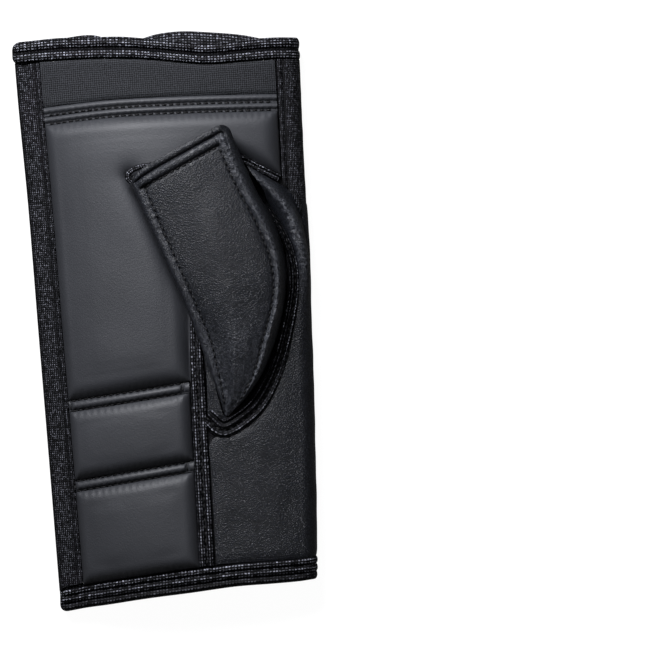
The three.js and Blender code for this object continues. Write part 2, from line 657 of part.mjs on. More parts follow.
// The back's wall runs from the pinky binding to inside the thumb-side fold.
function backPieces() {
  const wallFoot = LOOP + GAP + 0.2;
  const wallEnds = [(x) => backWrist(x) + END_TAPE + GAP, (x) => backFingers(x) - END_TAPE - GAP];
  const insideFold = (y) => thumbEdge(y) - 5.4;
  const wall = field(pinkyInner, insideFold, ...wallEnds);
  add("back_panel", backLayer(16, 14, wall, wallFoot, wallFoot + WALL), KNIT_CLOTH);
  const joint = -2.5;
  const cornerEnd = curveThrough(
    [
      { x: -50, y: -6 },
      { x: -42, y: -12 },
      { x: -39.6, y: -21 },
      { x: -36.6, y: -27.6 },
      { x: -32, y: -30.8 },
      { x: -26, y: -31.6 },
      { x: 0, y: -31.2 },
    ],
    "x",
    "y",
  );
  const pinkyLoop = field((y) => pinkyInner(y) + 0.4, () => joint, cornerEnd, wallEnds[1]);
  add("loop_panel_pinky", backLayer(10, 10, pinkyLoop, 0, LOOP), LOOP_PILE);
  const thumbLoop = field(() => joint + GAP, insideFold, () => -31.4, wallEnds[1]);
  add("loop_panel_thumb", backLayer(9, 10, thumbLoop, 0, LOOP), LOOP_PILE);
  const smooth = field(() => 0.6, insideFold, wallEnds[0], () => -31.8);
  add("back_pad", backLayer(9, 6, smooth, 0, LOOP), SMOOTH_LEATHER);
}

palmPieces();
thumbPieces();
bindings();
flapPieces();
backPieces();

export default glove;
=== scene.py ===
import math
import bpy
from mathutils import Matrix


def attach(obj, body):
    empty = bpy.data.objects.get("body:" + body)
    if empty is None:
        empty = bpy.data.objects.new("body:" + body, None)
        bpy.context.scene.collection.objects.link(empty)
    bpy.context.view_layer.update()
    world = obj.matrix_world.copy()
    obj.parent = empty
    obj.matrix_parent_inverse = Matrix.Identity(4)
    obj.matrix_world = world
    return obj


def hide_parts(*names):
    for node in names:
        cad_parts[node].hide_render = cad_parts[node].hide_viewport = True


bl_info = {
    "name": "Wheelchair push glove",
    "version": (1, 0, 0),
    "blender": (4, 5, 0),
    "location": "View3D > Sidebar > Glove",
    "description": "A padded open-finger push glove lying palm up, with its bindings, stitching and closure",
    "category": "Object",
}

from functools import wraps

import bpy
import numpy as np
from bpy.props import FloatProperty, FloatVectorProperty, PointerProperty

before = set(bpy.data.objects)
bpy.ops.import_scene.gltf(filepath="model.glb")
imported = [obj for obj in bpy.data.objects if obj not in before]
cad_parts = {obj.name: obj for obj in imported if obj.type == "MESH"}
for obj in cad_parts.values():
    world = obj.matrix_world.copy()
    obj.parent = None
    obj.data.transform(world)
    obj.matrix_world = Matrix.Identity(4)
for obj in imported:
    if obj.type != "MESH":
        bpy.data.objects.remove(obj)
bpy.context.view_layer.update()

# Everything below is in millimetres until it goes into a mesh. +X is the thumb side, +Y the finger end and
# +Z the palm's outer face. The floor is z = 0.
MM = 0.001

# Thicknesses of the leather, the padded walls, the loop pile, the flap and its patch, and the room between
# layers.
LEATHER = 1.3
WALL = 2.4
LOOP = 1.2
FLAP = 1.6
PATCH = 0.8
GAP = 0.3
# How high the padded fields stand over the palm.
PAD_CROWN = 4.2

# Widths of the tapes and tucks, and the lip that a finger tuck lies on below its roll.
END_TAPE = 8.6
PINKY_TAPE = 9.3
FLAP_TAPE = 4.6
FINGER_TUCK = 3.3
PAD_TUCK = 3.0
TUCK_LIP = 0.25
HEEL_TUCK = 4.2
# How far a pad stays from the middle of the heel tuck or finger tuck beside it.
HEEL_ROOM = 2.4
FINGER_ROOM = 1.95
# The x where short rows of stitches tie the heel tucks down.
TIES = (-43.1, 2.9)
# Where the pads and the band end at the thumb side, and the heel's pads at the seam tape.
PAD_SIDE = 47.3
SEAM_SIDE = 5.6

# The thumb-side fold: how far it reaches out, its length along the skin, and where on it the palm's cloth
# is sewn to the back's and the gusset is turned in.
FOLD_REACH = 6.0
FOLD_LENGTH = 22.0
FOLD_SEAM = 0.55 * FOLD_LENGTH
FOLD_EDGE = 0.69 * FOLD_LENGTH
# How far the back's cloth stops short of the thumb edge, and where its two loop panels end and its pad
# begins.
BACK_MARGIN = 5.4
PANEL_FOOT = -31.4
BACK_PAD_HEAD = -31.8
# Heights over the floor of the back's skin, of the loop panels, and of the split between the palm's and the
# back's tapes; and how far the back's layers rise over the flap.
BACK_LEVEL = 0.9
LOOP_LEVEL = 0.4
FIN_SPLIT = 4.65
FLAP_LIFT = BACK_LEVEL + FLAP + GAP - LOOP_LEVEL
# The palm's end tapes before they thin out over the fold, and how far in from an end its oval is full.
END_THICK = 4.6
END_ROUND = 2.0

# The foam that swells a pad: its pressure, the leather's mass at each point, the most that a point rises,
# the rounds of smoothing, and the rows and columns of the coarse copy.
FOAM_PRESSURE = 140
FOAM_MASS = 0.005
FOAM_GAIN = 1.2
FOAM_SMOOTHING = 12
FOAM_GRID = (56, 46)

# The two long edges: y, pinky x, thumb x.
EDGES = np.array([
    (-118, -51.3, 51.7), (-100, -51.8, 52.5), (-50, -53.0, 54.5), (0, -54.3, 56.0), (22, -54.8, 56.7),
    (50, -55.5, 56.4), (100, -57.1, 57.0), (118, -57.4, 57.3),
])

# The palm's arch: the share across it, and the rise.
ARCH = np.array([
    (0.0, 7.0), (0.08, 9.0), (0.17, 13.0), (0.32, 17.8), (0.5, 20.4), (0.7, 21.0), (0.86, 19.6),
    (0.95, 17.8),
])

# The ends: x, then where the palm ends at the fingers and at the wrist, and the back likewise.
ENDS = np.array([
    (-58, 114.8, -116.0, 113.6, -115.2), (-50, 115.2, -116.2, 114.8, -115.2),
    (-40, 115.0, -114.6, 115.6, -113.8), (-26, 114.7, -112.9, 116.4, -112.2),
    (-17, 114.1, -112.0, 113.7, -111.2), (-9, 113.5, -111.2, 113.3, -110.4),
    (0, 112.4, -110.4, 115.3, -109.6), (10, 110.8, -109.7, 115.9, -108.9),
    (20, 109.6, -109.1, 115.0, -108.3), (35, 109.8, -108.7, 112.9, -107.9),
    (48, 110.2, -108.4, 109.6, -107.6), (58, 109.8, -107.8, 108.8, -107.2),
])

# The stitched tucks across the palm: x, finger tuck, pad tuck, heel tuck, wrist tuck.
CROSSINGS = np.array([
    (-48, 86.0, 82.2, -34.0, -66.6), (-20, 87.2, 83.6, -31.2, -63.2), (6, 87.0, 83.5, -28.4, -60.2),
    (48, 85.8, 82.4, -24.0, -56.0),
])

# Tape courses: x, y and, but for the flap's, the width.
SEAM_TAPE = np.array([
    (8.6, -100.6, 6.0), (8.8, -60, 6.0), (9.0, -30, 5.8), (9.4, -8, 5.0), (10.8, 15, 4.4), (13.4, 36, 4.2),
    (17.0, 50.5, 4.0), (21.6, 58.6, 3.6), (26.8, 62.4, 3.6), (32.0, 61.9, 3.6), (38.6, 58.2, 3.4),
    (46.6, 53.8, 3.4),
])
THUMB_TAPE = np.array([
    (12.0, -40.2, 4.8), (14.2, -42.6, 5.2), (16.4, -44.8, 5.8), (19.6, -45.6, 6.0), (26.2, -42.2, 5.8),
    (32.8, -36.8, 5.4), (38.4, -28.4, 4.8), (42.8, -18.8, 4.2), (46.2, -8, 3.8), (48.8, 2, 3.4),
    (50.2, 11, 3.0), (49.9, 20.5, 2.7), (47.5, 29, 2.3), (44.0, 36.5, 2.1), (40.2, 43.2, 1.9),
])
FLAP_TAPE_PATH = np.array([
    (53.6, 100.0), (53.3, 80), (52.9, 60), (51.8, 52.6), (47.4, 49.4), (38, 48.4), (26, 47.6), (16, 45.6),
    (8.6, 41), (3.8, 34), (1.4, 25), (0.4, 10), (0.8, -6), (2.8, -16), (7.0, -25), (13, -30.8), (20, -32.4),
    (30, -30.8), (41, -28.8), (47.6, -29.6), (50.6, -36), (50.8, -55), (50.2, -76), (49.2, -98.8),
])
# The part of that course which goes round the flap itself, from point to point.
FLAP_FIRST = 4
FLAP_LAST = 18

# How much finer the weave of the two side tapes is than that of the others.
SIDE_WEAVE = 1.45
# The share of the others' painted glint that it has.
SIDE_GLINT = 0.45

# The opening for the thumb in the palm's wall: x, y.
THUMB_HOLE = np.array([
    (14.6, -40.6), (12.4, -37), (12.0, -12), (13.6, 18), (16.2, 36), (20.4, 50.5), (25.2, 57.6),
    (31.4, 58.2), (37.0, 54.2), (41.6, 46), (45.4, 34), (47.8, 21), (47.6, 8), (43.8, -7), (37.6, -23),
    (30.0, -34.4), (21.4, -40.8),
])

# The thumb stall's top, from its point at the heel to its mouth: the free edge's x and y, the base edge's x
# and y, and the rise of the free edge, the crown and the base edge over the palm.
STALL = np.array([
    (19.2, -40.4, 20.6, -40.8, 0.6, 1.8, 0.4), (17.4, -33, 28.2, -33.8, 1.5, 6.2, 0.4),
    (14.0, -21.5, 36.2, -23, 3.4, 10.6, 0.4), (9.5, -6, 42.8, -7.5, 6.0, 13.4, 0.4),
    (4.0, 9.5, 46.6, 8, 8.2, 14.6, 0.4), (-1.5, 24, 47.2, 21.5, 8.8, 14.8, 0.4),
    (-6.0, 36, 43.4, 36, 8.8, 14.6, 1.6), (-9.6, 45.5, 37.6, 48, 8.8, 14.2, 5.4),
    (-12.2, 52.5, 32.2, 61.5, 8.8, 13.8, 8.6), (-14.0, 57.6, 27.0, 77.2, 8.8, 13.6, 8.8),
])
# A point of the line of its mouth, and the unit step from that line into the stall.
MOUTH = (-14.0, 57.6)
MOUTH_IN = (0.431, -0.902)
# How far its right stitch row is from the base edge, row by row.
STALL_SEAM = np.array([5.0, 5.0, 5.0, 5.1, 4.9, 6.2, 7.2, 6.9, 6.7, 6.7])
# How round the corners of its mouth are at the base edge and at the free edge, and how far inside the mouth
# the stitches of its hem run.
MOUTH_BASE_ROUND = 4.8
MOUTH_FREE_ROUND = 3.6
HEM_SEAM = 7.4
# The steps across each of its sections, and the numbers of the steps that its left and right stitch rows
# follow.
STALL_STEPS = 114
STALL_LEFT_ROW = 36
STALL_RIGHT_ROW = 78
# Its under panel: left x and y, right x and y, and the rise at the left, in the middle and at the right.
STALL_UNDER = np.array([
    (12.4, -41.6, 19.6, -42, -1.2, -1.2, -1.2), (12.6, -37, 17.8, -37.4, -0.3, -0.3, -0.3),
    (12.6, -21, 14.8, -21, 0.6, 0.6, 0.6), (10.4, -6, 14.2, -5, 3.6, 2.6, 2.0),
    (5.2, 9.2, 15.6, 9, 6.4, 5.0, 1.4), (-0.4, 24, 17.4, 23.6, 7.0, 5.0, 1.2),
    (-4.9, 36, 19.6, 36.4, 7.0, 4.9, 1.2), (-8.5, 45.5, 24.0, 48.6, 7.0, 4.9, 2.6),
    (-11.1, 52.7, 30.6, 61, 7.0, 4.9, 6.6), (-12.9, 57.4, 26.0, 76.4, 7.0, 4.9, 6.8),
])

# The rounded fold of gusset leather that stands up beside the thumb's opening: x, y.
GUSSET_FOLD = np.array([
    (34.0, 56.4), (38.4, 53.0), (43.4, 48.5), (47.3, 43.6), (49.8, 38.4), (51.4, 32.8), (52.7, 24),
    (53.5, 14), (53.8, 4),
])
# The tape at the stall's mouth: x, y and the rise.
MOUTH_TAPE = np.array([
    (-12.5, 55.0, 8.6), (-13.9, 56.5, 8.7), (-13.7, 58.4, 8.7), (-11.8, 59.9, 8.4), (-8.4, 61.0, 8),
    (-4.7, 61.4, 7.2), (3.2, 63.4, 6.4), (12.3, 67.5, 6.2), (20.4, 70.8, 6.4),
])
# The low end of the thumb-edge tape: the distance along the skin, and y.
EDGE_TAPE_END = np.array([
    (-2.7, 51.8), (-0.5, 48.5), (2.2, 44.3), (5.4, 37.4), (8.6, 30.8), (10.4, 33), (12, 44), (15.3, 55.5),
])
# The rounded lower corner of the loop panel at the pinky side: x, y.
PANEL_CORNER = np.array([
    (-50, -6), (-42, -12), (-39.6, -21), (-36.6, -27.6), (-32, -30.8), (-26, -31.6), (0, -31.2),
])

# The patch: its middle, its width and height, and its turn in degrees. Then how far in its corners and rim
# are rounded, and where its stitches run.
PATCH_MIDDLE = (28.4, 7.5)
PATCH_SIZE = (46.0, 34.5)
PATCH_TURN = 6.5
PATCH_ROUND = 0.9
PATCH_SEAM = 2.2


def srgb(code):
    """A linear colour from an sRGB hex code: each channel over 255, through the sRGB curve."""
    channels = [int(code[i : i + 2], 16) / 255 for i in (1, 3, 5)]
    return [c / 12.92 if c <= 0.04045 else ((c + 0.055) / 1.055) ** 2.4 for c in channels]


def between(low, high, share):
    """The value at a share of the way from low to high."""
    return low + (high - low) * share


def steady(value):
    """A line that keeps one value all along."""
    return lambda at: value + 0 * at


def above(end):
    """The line a tape's width and a gap above a lower end."""
    return lambda x: end(x) + END_TAPE + GAP


def below(end):
    """The line a tape's width and a gap below an upper end."""
    return lambda x: end(x) - END_TAPE - GAP


def through(table, start, value):
    """A smooth function through two columns of a table: between two rows a cubic leaves and arrives with
    the mean of the slopes on either side."""
    at, level = table[:, start], table[:, value]
    slope = np.diff(level) / np.diff(at)
    ends = np.concatenate((slope[:1], (slope[:-1] + slope[1:]) / 2, slope[-1:]))

    def curve(x):
        x = np.clip(x, at[0], at[-1])
        i = np.clip(np.searchsorted(at, x, side="right") - 1, 0, len(slope) - 1)
        span = at[i + 1] - at[i]
        t = (x - at[i]) / span
        ease = t * t * (3 - 2 * t)
        lead = t * (1 - t) * ((1 - t) * ends[i] - t * ends[i + 1]) * span
        return level[i] * (1 - ease) + level[i + 1] * ease + lead

    return curve


pinky_edge = through(EDGES, 0, 1)
thumb_edge = through(EDGES, 0, 2)
arch_rise = through(ARCH, 0, 1)
palm_fingers, palm_wrist, back_fingers, back_wrist = (through(ENDS, 0, i) for i in (1, 2, 3, 4))
finger_tuck, pad_tuck, heel_tuck, wrist_tuck = (through(CROSSINGS, 0, i) for i in (1, 2, 3, 4))
palm_foot, back_foot = above(palm_wrist), above(back_wrist)
palm_head, back_head = below(palm_fingers), below(back_fingers)


def fold_start(y):
    """The thumb edge less the fold's reach."""
    return thumb_edge(y) - FOLD_REACH


def back_edge(y):
    """The thumb edge less the margin of the back's cloth."""
    return thumb_edge(y) - BACK_MARGIN


def pinky_inner(y):
    """The pinky edge plus its tape's width and a gap."""
    return pinky_edge(y) + PINKY_TAPE + GAP


def smoothstep(x, low, high):
    """Zero below low, one above high, and the cubic 3t^2 - 2t^3 between them."""
    t = np.clip((x - low) / (high - low), 0, 1)
    return t * t * (3 - 2 * t)


def hump(t, power=0.6):
    """A rounded roll over t from 0 to 1: the sine of half a turn, to a power that fills its shoulders."""
    return np.sin(np.pi * np.clip(t, 0, 1)) ** power


def bell(distance, width):
    """A soft rise or dent that fades over about a width: e to the minus squared share of the width."""
    return np.exp(-((distance / width) ** 2))


def quarter(share):
    """A quarter of an oval: the root of one less the square of what is left of the share."""
    return np.sqrt(1 - (1 - np.clip(share, 0, 1)) ** 2)


def spots(x, y, z):
    """Points from grids or numbers."""
    return np.stack(np.broadcast_arrays(x, y, z), axis=-1)


def shares(columns, rows):
    """Two grids from 0 to 1: the share across and the share up."""
    return np.meshgrid(np.linspace(0, 1, columns + 1), np.linspace(0, 1, rows + 1))


def palm_height(x, y):
    """Height of the palm's outer face: the arch over the share across from the pinky edge to the thumb
    edge."""
    return arch_rise((x - pinky_edge(y)) / (thumb_edge(y) - pinky_edge(y)))


def back_lift(x, y):
    """How far the back's inner layers rise over the flap, and over the edge turned in at the thumb side."""
    under_flap = smoothstep(x, -24, -4) * smoothstep(y, -56, -36) * (1 - smoothstep(y, 53, 73))
    under_edge = smoothstep(x, fold_start(y) - 18, fold_start(y) - 1.5)
    return FLAP_LIFT * np.maximum(under_flap, under_edge)


def skin(along, y, outward):
    """A point of the outer skin. Along is zero where the thumb-side fold starts and less on the palm: there
    the height is the palm's. From zero to the fold's length it runs round half an ellipse, and then over
    the back."""
    along, y, outward = np.broadcast_arrays(*(np.asarray(value, float) for value in (along, y, outward)))
    start = fold_start(y)
    top = palm_height(start, y)
    middle = (top + BACK_LEVEL) / 2
    turn = np.clip(along / FOLD_LENGTH, 0, 1) * np.pi
    x = start + (FOLD_REACH + outward) * np.sin(turn)
    z = middle + (top - middle + outward) * np.cos(turn)
    on_palm, on_back = along <= 0, along >= FOLD_LENGTH
    x = np.where(on_palm, start + along, np.where(on_back, start + FOLD_LENGTH - along, x))
    z = np.where(on_palm, palm_height(start + np.minimum(along, 0), y) + outward, z)
    z = np.where(on_back, BACK_LEVEL - outward, z)
    return spots(x, y, z)


def along_palm(x, y):
    """The along of a point seen at x from the palm: straight on the flat, an arc sine over the fold."""
    past = np.asarray(x - fold_start(y), float)
    bend = np.arcsin(np.clip(past / FOLD_REACH, -1, 1)) / np.pi * FOLD_LENGTH
    return np.where(past <= 0, past, bend)


def along_back(x, y):
    """The along of a point seen at x from the back: less towards the thumb edge, and round the fold what is
    left of its length after the palm's."""
    past = np.asarray(x - fold_start(y), float)
    return np.where(past <= 0, FOLD_LENGTH - past, FOLD_LENGTH - along_palm(x, y))


def strung(control, shares):
    """Points on a cubic strung through control points, at shares of the way through them. At each control
    point it arrives and leaves with the mean of the steps on either side."""
    control = np.asarray(control, float)
    step = np.diff(control, axis=0)
    slope = np.concatenate((step[:1], (step[:-1] + step[1:]) / 2, step[-1:]))
    at = np.asarray(shares) * (len(control) - 1)
    i = np.clip(at.astype(int), 0, len(control) - 2)
    t = (at - i).reshape(-1, *[1] * (control.ndim - 1))
    ease = t * t * (3 - 2 * t)
    lead = t * (1 - t) * ((1 - t) * slope[i] - t * slope[i + 1])
    return control[i] * (1 - ease) + control[i + 1] * ease + lead


def evenly(points, spacing):
    """The curve strung through points, cut again into equal lengths: distance along it is interpolated."""
    dense = strung(points, np.linspace(0, 1, 40 * len(points)))
    length = np.concatenate(([0], np.cumsum(np.linalg.norm(np.diff(dense[:, :2], axis=0), axis=1))))
    at = np.linspace(0, length[-1], max(3, round(length[-1] / spacing) + 1))
    return np.stack([np.interp(at, length, column) for column in dense.T], axis=-1), at


def unrolled(path, to_along):
    """A path of x, y and more columns, with x changed to the distance along the skin."""
    path = np.array(path, float)
    path[:, 0] = to_along(path[:, 0], path[:, 1])
    return path


def beside(path):
    """The unit steps to the right of a path's course, at each of its points."""
    forward = np.gradient(path[:, :2], axis=0)
    forward /= np.linalg.norm(forward, axis=1, keepdims=True)
    return np.stack((forward[:, 1], -forward[:, 0]), axis=-1)


def distance_to(x, y, path):
    """The distance from each point of a grid to the nearest of a path's points."""
    square = np.full(np.shape(x), np.inf)
    for px, py in path[:, :2]:
        square = np.minimum(square, (x - px) ** 2 + (y - py) ** 2)
    return np.sqrt(square)


def inside(x, y, outline):
    """Whether each point lies in a closed outline: an odd number of its sides cross the level to the
    right."""
    odd = np.zeros(np.shape(x), bool)
    for (ax, ay), (bx, by) in zip(outline, np.roll(outline, -1, axis=0)):
        if ay != by:
            crosses = (ay > y) != (by > y)
            odd ^= crosses & (x < ax + (y - ay) * (bx - ax) / (by - ay))
    return odd


def cells_inside(x, y, outline):
    """Whether the middle of each of a grid's cells lies in a closed outline."""
    return inside((x[:-1, :-1] + x[1:, 1:]) / 2, (y[:-1, :-1] + y[1:, 1:]) / 2, outline)


def ripple(x, y, length, seed):
    """A gentle unevenness of about one unit: six sine waves in seeded directions, round one wavelength."""
    draw = np.random.default_rng(seed)
    total = 0.0 * (x + y)
    for _ in range(6):
        angle, phase = draw.uniform(0, 2 * np.pi, 2)
        wave = 2 * np.pi / (length * draw.uniform(0.7, 1.5))
        total += np.sin(wave * (x * np.cos(angle) + y * np.sin(angle)) + phase)
    return total / 3


def cornered(first, second, radius):
    """A square corner turned into a quarter disc. Takes the distances from its two sides, and returns how
    far a point moves in from each of them, and its distance from the arc: with u and v as shares of the
    radius that are left, the disc's u is u times the root of 1 - v^2 / 2, and v likewise."""
    u, v = (np.clip(1 - distance / radius, 0, 1) for distance in (first, second))
    inward, sidewards = u * (1 - np.sqrt(1 - v * v / 2)), v * (1 - np.sqrt(1 - u * u / 2))
    return radius * inward, radius * sidewards, radius * (1 - np.sqrt(u * u + v * v - u * u * v * v))


def sizes():
    """The sizes that the panel shows."""
    return bpy.context.scene.glove_sizes


def colours():
    """The colours that the panel shows."""
    return bpy.context.scene.glove_colours


def stitch_wave(x):
    """Up and down once in every stitch along x: a cosine."""
    return np.cos(2 * np.pi * x / (sizes().stitch_pitch / MM))


def into_mesh(name, points, faces, finish, cloth=None, crease=50):
    """A mesh object from points in millimetres and four-sided faces. Its faces are turned to point outwards
    where the volume, a sixth of the sum of each face's triple products, comes out negative. The cloth's
    four columns are each point's place on its tape or leather, and how much painted highlight it gets there."""
    corners = points[faces]
    normals = np.cross(corners[:, 2] - corners[:, 0], corners[:, 3] - corners[:, 1])
    if np.einsum("ij,ij->", corners.mean(axis=1), normals) < 0:
        faces = faces[:, ::-1]
    mesh = bpy.data.meshes.new(name)
    mesh.vertices.add(len(points))
    mesh.vertices.foreach_set("co", (points * MM).ravel())
    mesh.loops.add(faces.size)
    mesh.loops.foreach_set("vertex_index", faces.ravel())
    mesh.polygons.add(len(faces))
    mesh.polygons.foreach_set("loop_start", np.arange(0, faces.size, 4))
    mesh.polygons.foreach_set("use_smooth", np.ones(len(faces), bool))
    if cloth is not None:
        for layer, first in (("cloth", 0), ("crest", 2)):
            part = cloth[faces.ravel(), first : first + 2]
            mesh.uv_layers.new(name=layer).data.foreach_set("uv", part.ravel())
    mesh.update(calc_edges=True)
    mesh.validate()
    mesh.set_sharp_from_angle(angle=math.radians(crease))
    mesh.materials.append(finish)
    piece = bpy.data.objects.new(name, mesh)
    bpy.context.scene.collection.objects.link(piece)
    return piece


def shell(name, outer, inner, finish, keep=None, cloth=None, crease=50):
    """Closed cloth between two grids of points of the same shape: the faces of both, and a wall along every
    edge that only one kept face has. Both grids have the same cloth columns."""
    rows, columns = outer.shape[:2]
    number = np.arange(rows * columns).reshape(rows, columns)
    quads = np.stack((number[:-1, :-1], number[:-1, 1:], number[1:, 1:], number[1:, :-1]), axis=-1)
    quads = quads.reshape(-1, 4) if keep is None else quads[keep]
    starts = quads.ravel()
    ends = np.roll(quads, -1, axis=1).ravel()
    other = rows * columns
    alone = ~np.isin(starts * other + ends, ends * other + starts)
    a, b = starts[alone], ends[alone]
    walls = np.stack((b, a, a + other, b + other), axis=-1)
    faces = np.concatenate((quads, quads[:, ::-1] + other, walls))
    points = np.concatenate((outer.reshape(-1, 3), inner.reshape(-1, 3)))
    used, faces = np.unique(faces, return_inverse=True)
    faces = faces.reshape(-1, 4)
    if cloth is not None:
        cloth = np.concatenate((cloth.reshape(-1, 4), cloth.reshape(-1, 4)))[used]
    return into_mesh(name, points[used], faces, finish, cloth, crease)


def belongs(piece, slot, *nodes):
    """The piece moves with the glove and stands for its nodes. Its slot is not used."""
    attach(piece, "root")
    if nodes:
        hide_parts(*nodes)
    return piece


def field(left, right, low, high, columns, rows):
    """Grids of x and y over a four-sided field, whose sides follow y and whose ends follow x: both are
    interpolated from the share across and the share up, three times over so that they agree."""
    across, up = shares(columns, rows)
    y = between(low(0 * up), high(0 * up), up)
    for _ in range(3):
        x = between(left(y), right(y), across)
        y = between(low(x), high(x), up)
    return x, y


def woven(across, along, height, fineness=1.0, glint=1.0):
    """A tape's cloth columns: millimetres across and along it, over which a finer weave runs faster, and
    how much painted light the weave gets: a painted highlight with all of the glint on the crests, falling
    to little at the bottom of the grooves, which keep the dark colour as painted shade."""
    across, along, height = np.broadcast_arrays(across, along, height)
    crest = glint * smoothstep(height, height.min() + 0.1, height.min() + 0.8 * np.ptp(height))
    return np.stack((fineness * across, fineness * along, crest, 0 * crest), axis=-1)


def with_painted_highlight(x, y, painted_highlight):
    """A piece of leather's cloth columns: its millimetres, and how much painted highlight it gets there."""
    return np.stack((x, y, painted_highlight + 0 * x, 0 * x), axis=-1)


def over_palm(x, y, rise):
    """Points at a rise over the palm's outer face."""
    return spots(x, y, palm_height(x, y) + rise)


def over_back(x, y, height):
    """Points at a height over the loop panels' level, which rises over the flap."""
    return spots(x, y, LOOP_LEVEL + back_lift(x, y) + height)


def on_palm(name, x, y, rise, finish, keep=None):
    """Cloth on the palm, from its rise to a leather's thickness under the palm's outer face."""
    return shell(name, over_palm(x, y, rise), over_palm(x, y, -LEATHER), finish, keep)


def ribbon(path, spacing, columns, inner, profile, spread=1.0, glint=lambda share: 1.0):
    """A tape on the skin: its width, times the spread, is stepped off to both sides of the path, and its
    outer face stands as high as the profile says for the share across. Returns both faces and its cloth
    columns, with the painted glint that a function of the share across gives."""
    spine, at = evenly(path, spacing)
    side = beside(spine)[:, None]
    share = np.linspace(0, 1, columns + 1)[None, :]
    off = (share - 0.5) * spine[:, 2:3] * spread
    spot = spine[:, None, :2] + side * off[..., None]
    height = profile(share) + 0 * off
    outer = skin(spot[..., 0], spot[..., 1], height)
    under = skin(spot[..., 0], spot[..., 1], np.minimum(inner, profile(share) - 0.2) + 0 * off)
    return outer, under, woven(off, at[:, None], height, glint=glint(share))


def over_fold(start, end, share, across):
    """A row of columns over the thumb-side fold: the first share of them runs from the start, which is less
    than zero, to zero on the flat, and the rest round the bend to the end. From a start past zero they run
    evenly."""
    bend = np.maximum(share * smoothstep(-start, 0, 20), 1e-6)
    flat = start * (1 - across / bend)
    round_it = end * (across - bend) / (1 - bend)
    return np.where(start >= 0, start + (end - start) * across, np.where(across < bend, flat, round_it))


def rolled(at, *rolls, floor=0.0):
    """Heights across a tape or tuck: each roll has a start, an end and a crown, and stands as a rounded
    hump between them; the floor is between the rolls."""
    height = floor + 0 * at
    for start, end, crown in rolls:
        height = height + (crown - floor) * hump((at - start) / (end - start))
    return height


def plump(distances, roll, crown):
    """A padded field's height: the smooth least of the distances to its seams, the cube root of one over
    the sum of one over their cubes, rounds up over the roll's length as one less a falling power."""
    least = sum(np.maximum(distance, 1e-3) ** -3.0 for distance in distances) ** (-1 / 3)
    return crown * (1 - (1 - np.clip(least / roll, 0, 1)) ** 2.4)


def swollen(x, y, rise):
    """How much further a pad stands up when its foam presses on its leather. Blender's Cloth inflates a
    coarse, closed copy of the pad, whose underside and sewn edges are pinned. The rise that this gives is
    capped, smoothed by averaging each point with its four neighbours, and spread over the fine grid by
    straight lines between the coarse rows and columns."""
    rows, columns = (
        np.unique(np.linspace(0, fine - 1, few).round().astype(int)) for fine, few in zip(x.shape, FOAM_GRID)
    )
    part = np.ix_(rows, columns)
    coarse = rise[part]
    start = over_palm(x[part], y[part], 0.94 * coarse)
    slab = on_palm("swelling_pad", x[part], y[part], 0.94 * coarse, smooth_leather())
    pins = slab.vertex_groups.new(name="pins")
    still = np.concatenate(((coarse < 1.2).ravel(), np.ones(coarse.size, bool)))
    pins.add([int(i) for i in np.flatnonzero(still)], 1.0, "REPLACE")
    cloth = slab.modifiers.new("foam_pressure", "CLOTH").settings
    cloth.vertex_group_mass = "pins"
    cloth.quality, cloth.mass = 6, FOAM_MASS
    cloth.tension_stiffness = cloth.compression_stiffness = 12
    cloth.bending_stiffness = 0.6
    cloth.use_pressure, cloth.uniform_pressure_force = True, FOAM_PRESSURE
    cloth.effector_weights.gravity = 0
    scene = bpy.context.scene
    for frame in range(1, 21):
        scene.frame_set(frame)
    seen = slab.evaluated_get(bpy.context.evaluated_depsgraph_get()).to_mesh()
    moved = np.empty(3 * len(seen.vertices))
    seen.vertices.foreach_get("co", moved)
    top = moved.reshape(-1, 3)[: coarse.size, 2].reshape(coarse.shape) / MM
    gain = np.clip(top - start[..., 2], 0, FOAM_GAIN)
    for _ in range(FOAM_SMOOTHING):
        around = gain[:-2, 1:-1] + gain[2:, 1:-1] + gain[1:-1, :-2] + gain[1:-1, 2:]
        gain[1:-1, 1:-1] = (4 * gain[1:-1, 1:-1] + around) / 8
    scene.frame_set(1)
    bpy.data.objects.remove(slab)
    across = np.stack([np.interp(np.arange(x.shape[1]), columns, line) for line in gain])
    return np.stack([np.interp(np.arange(x.shape[0]), rows, line) for line in across.T], axis=1)


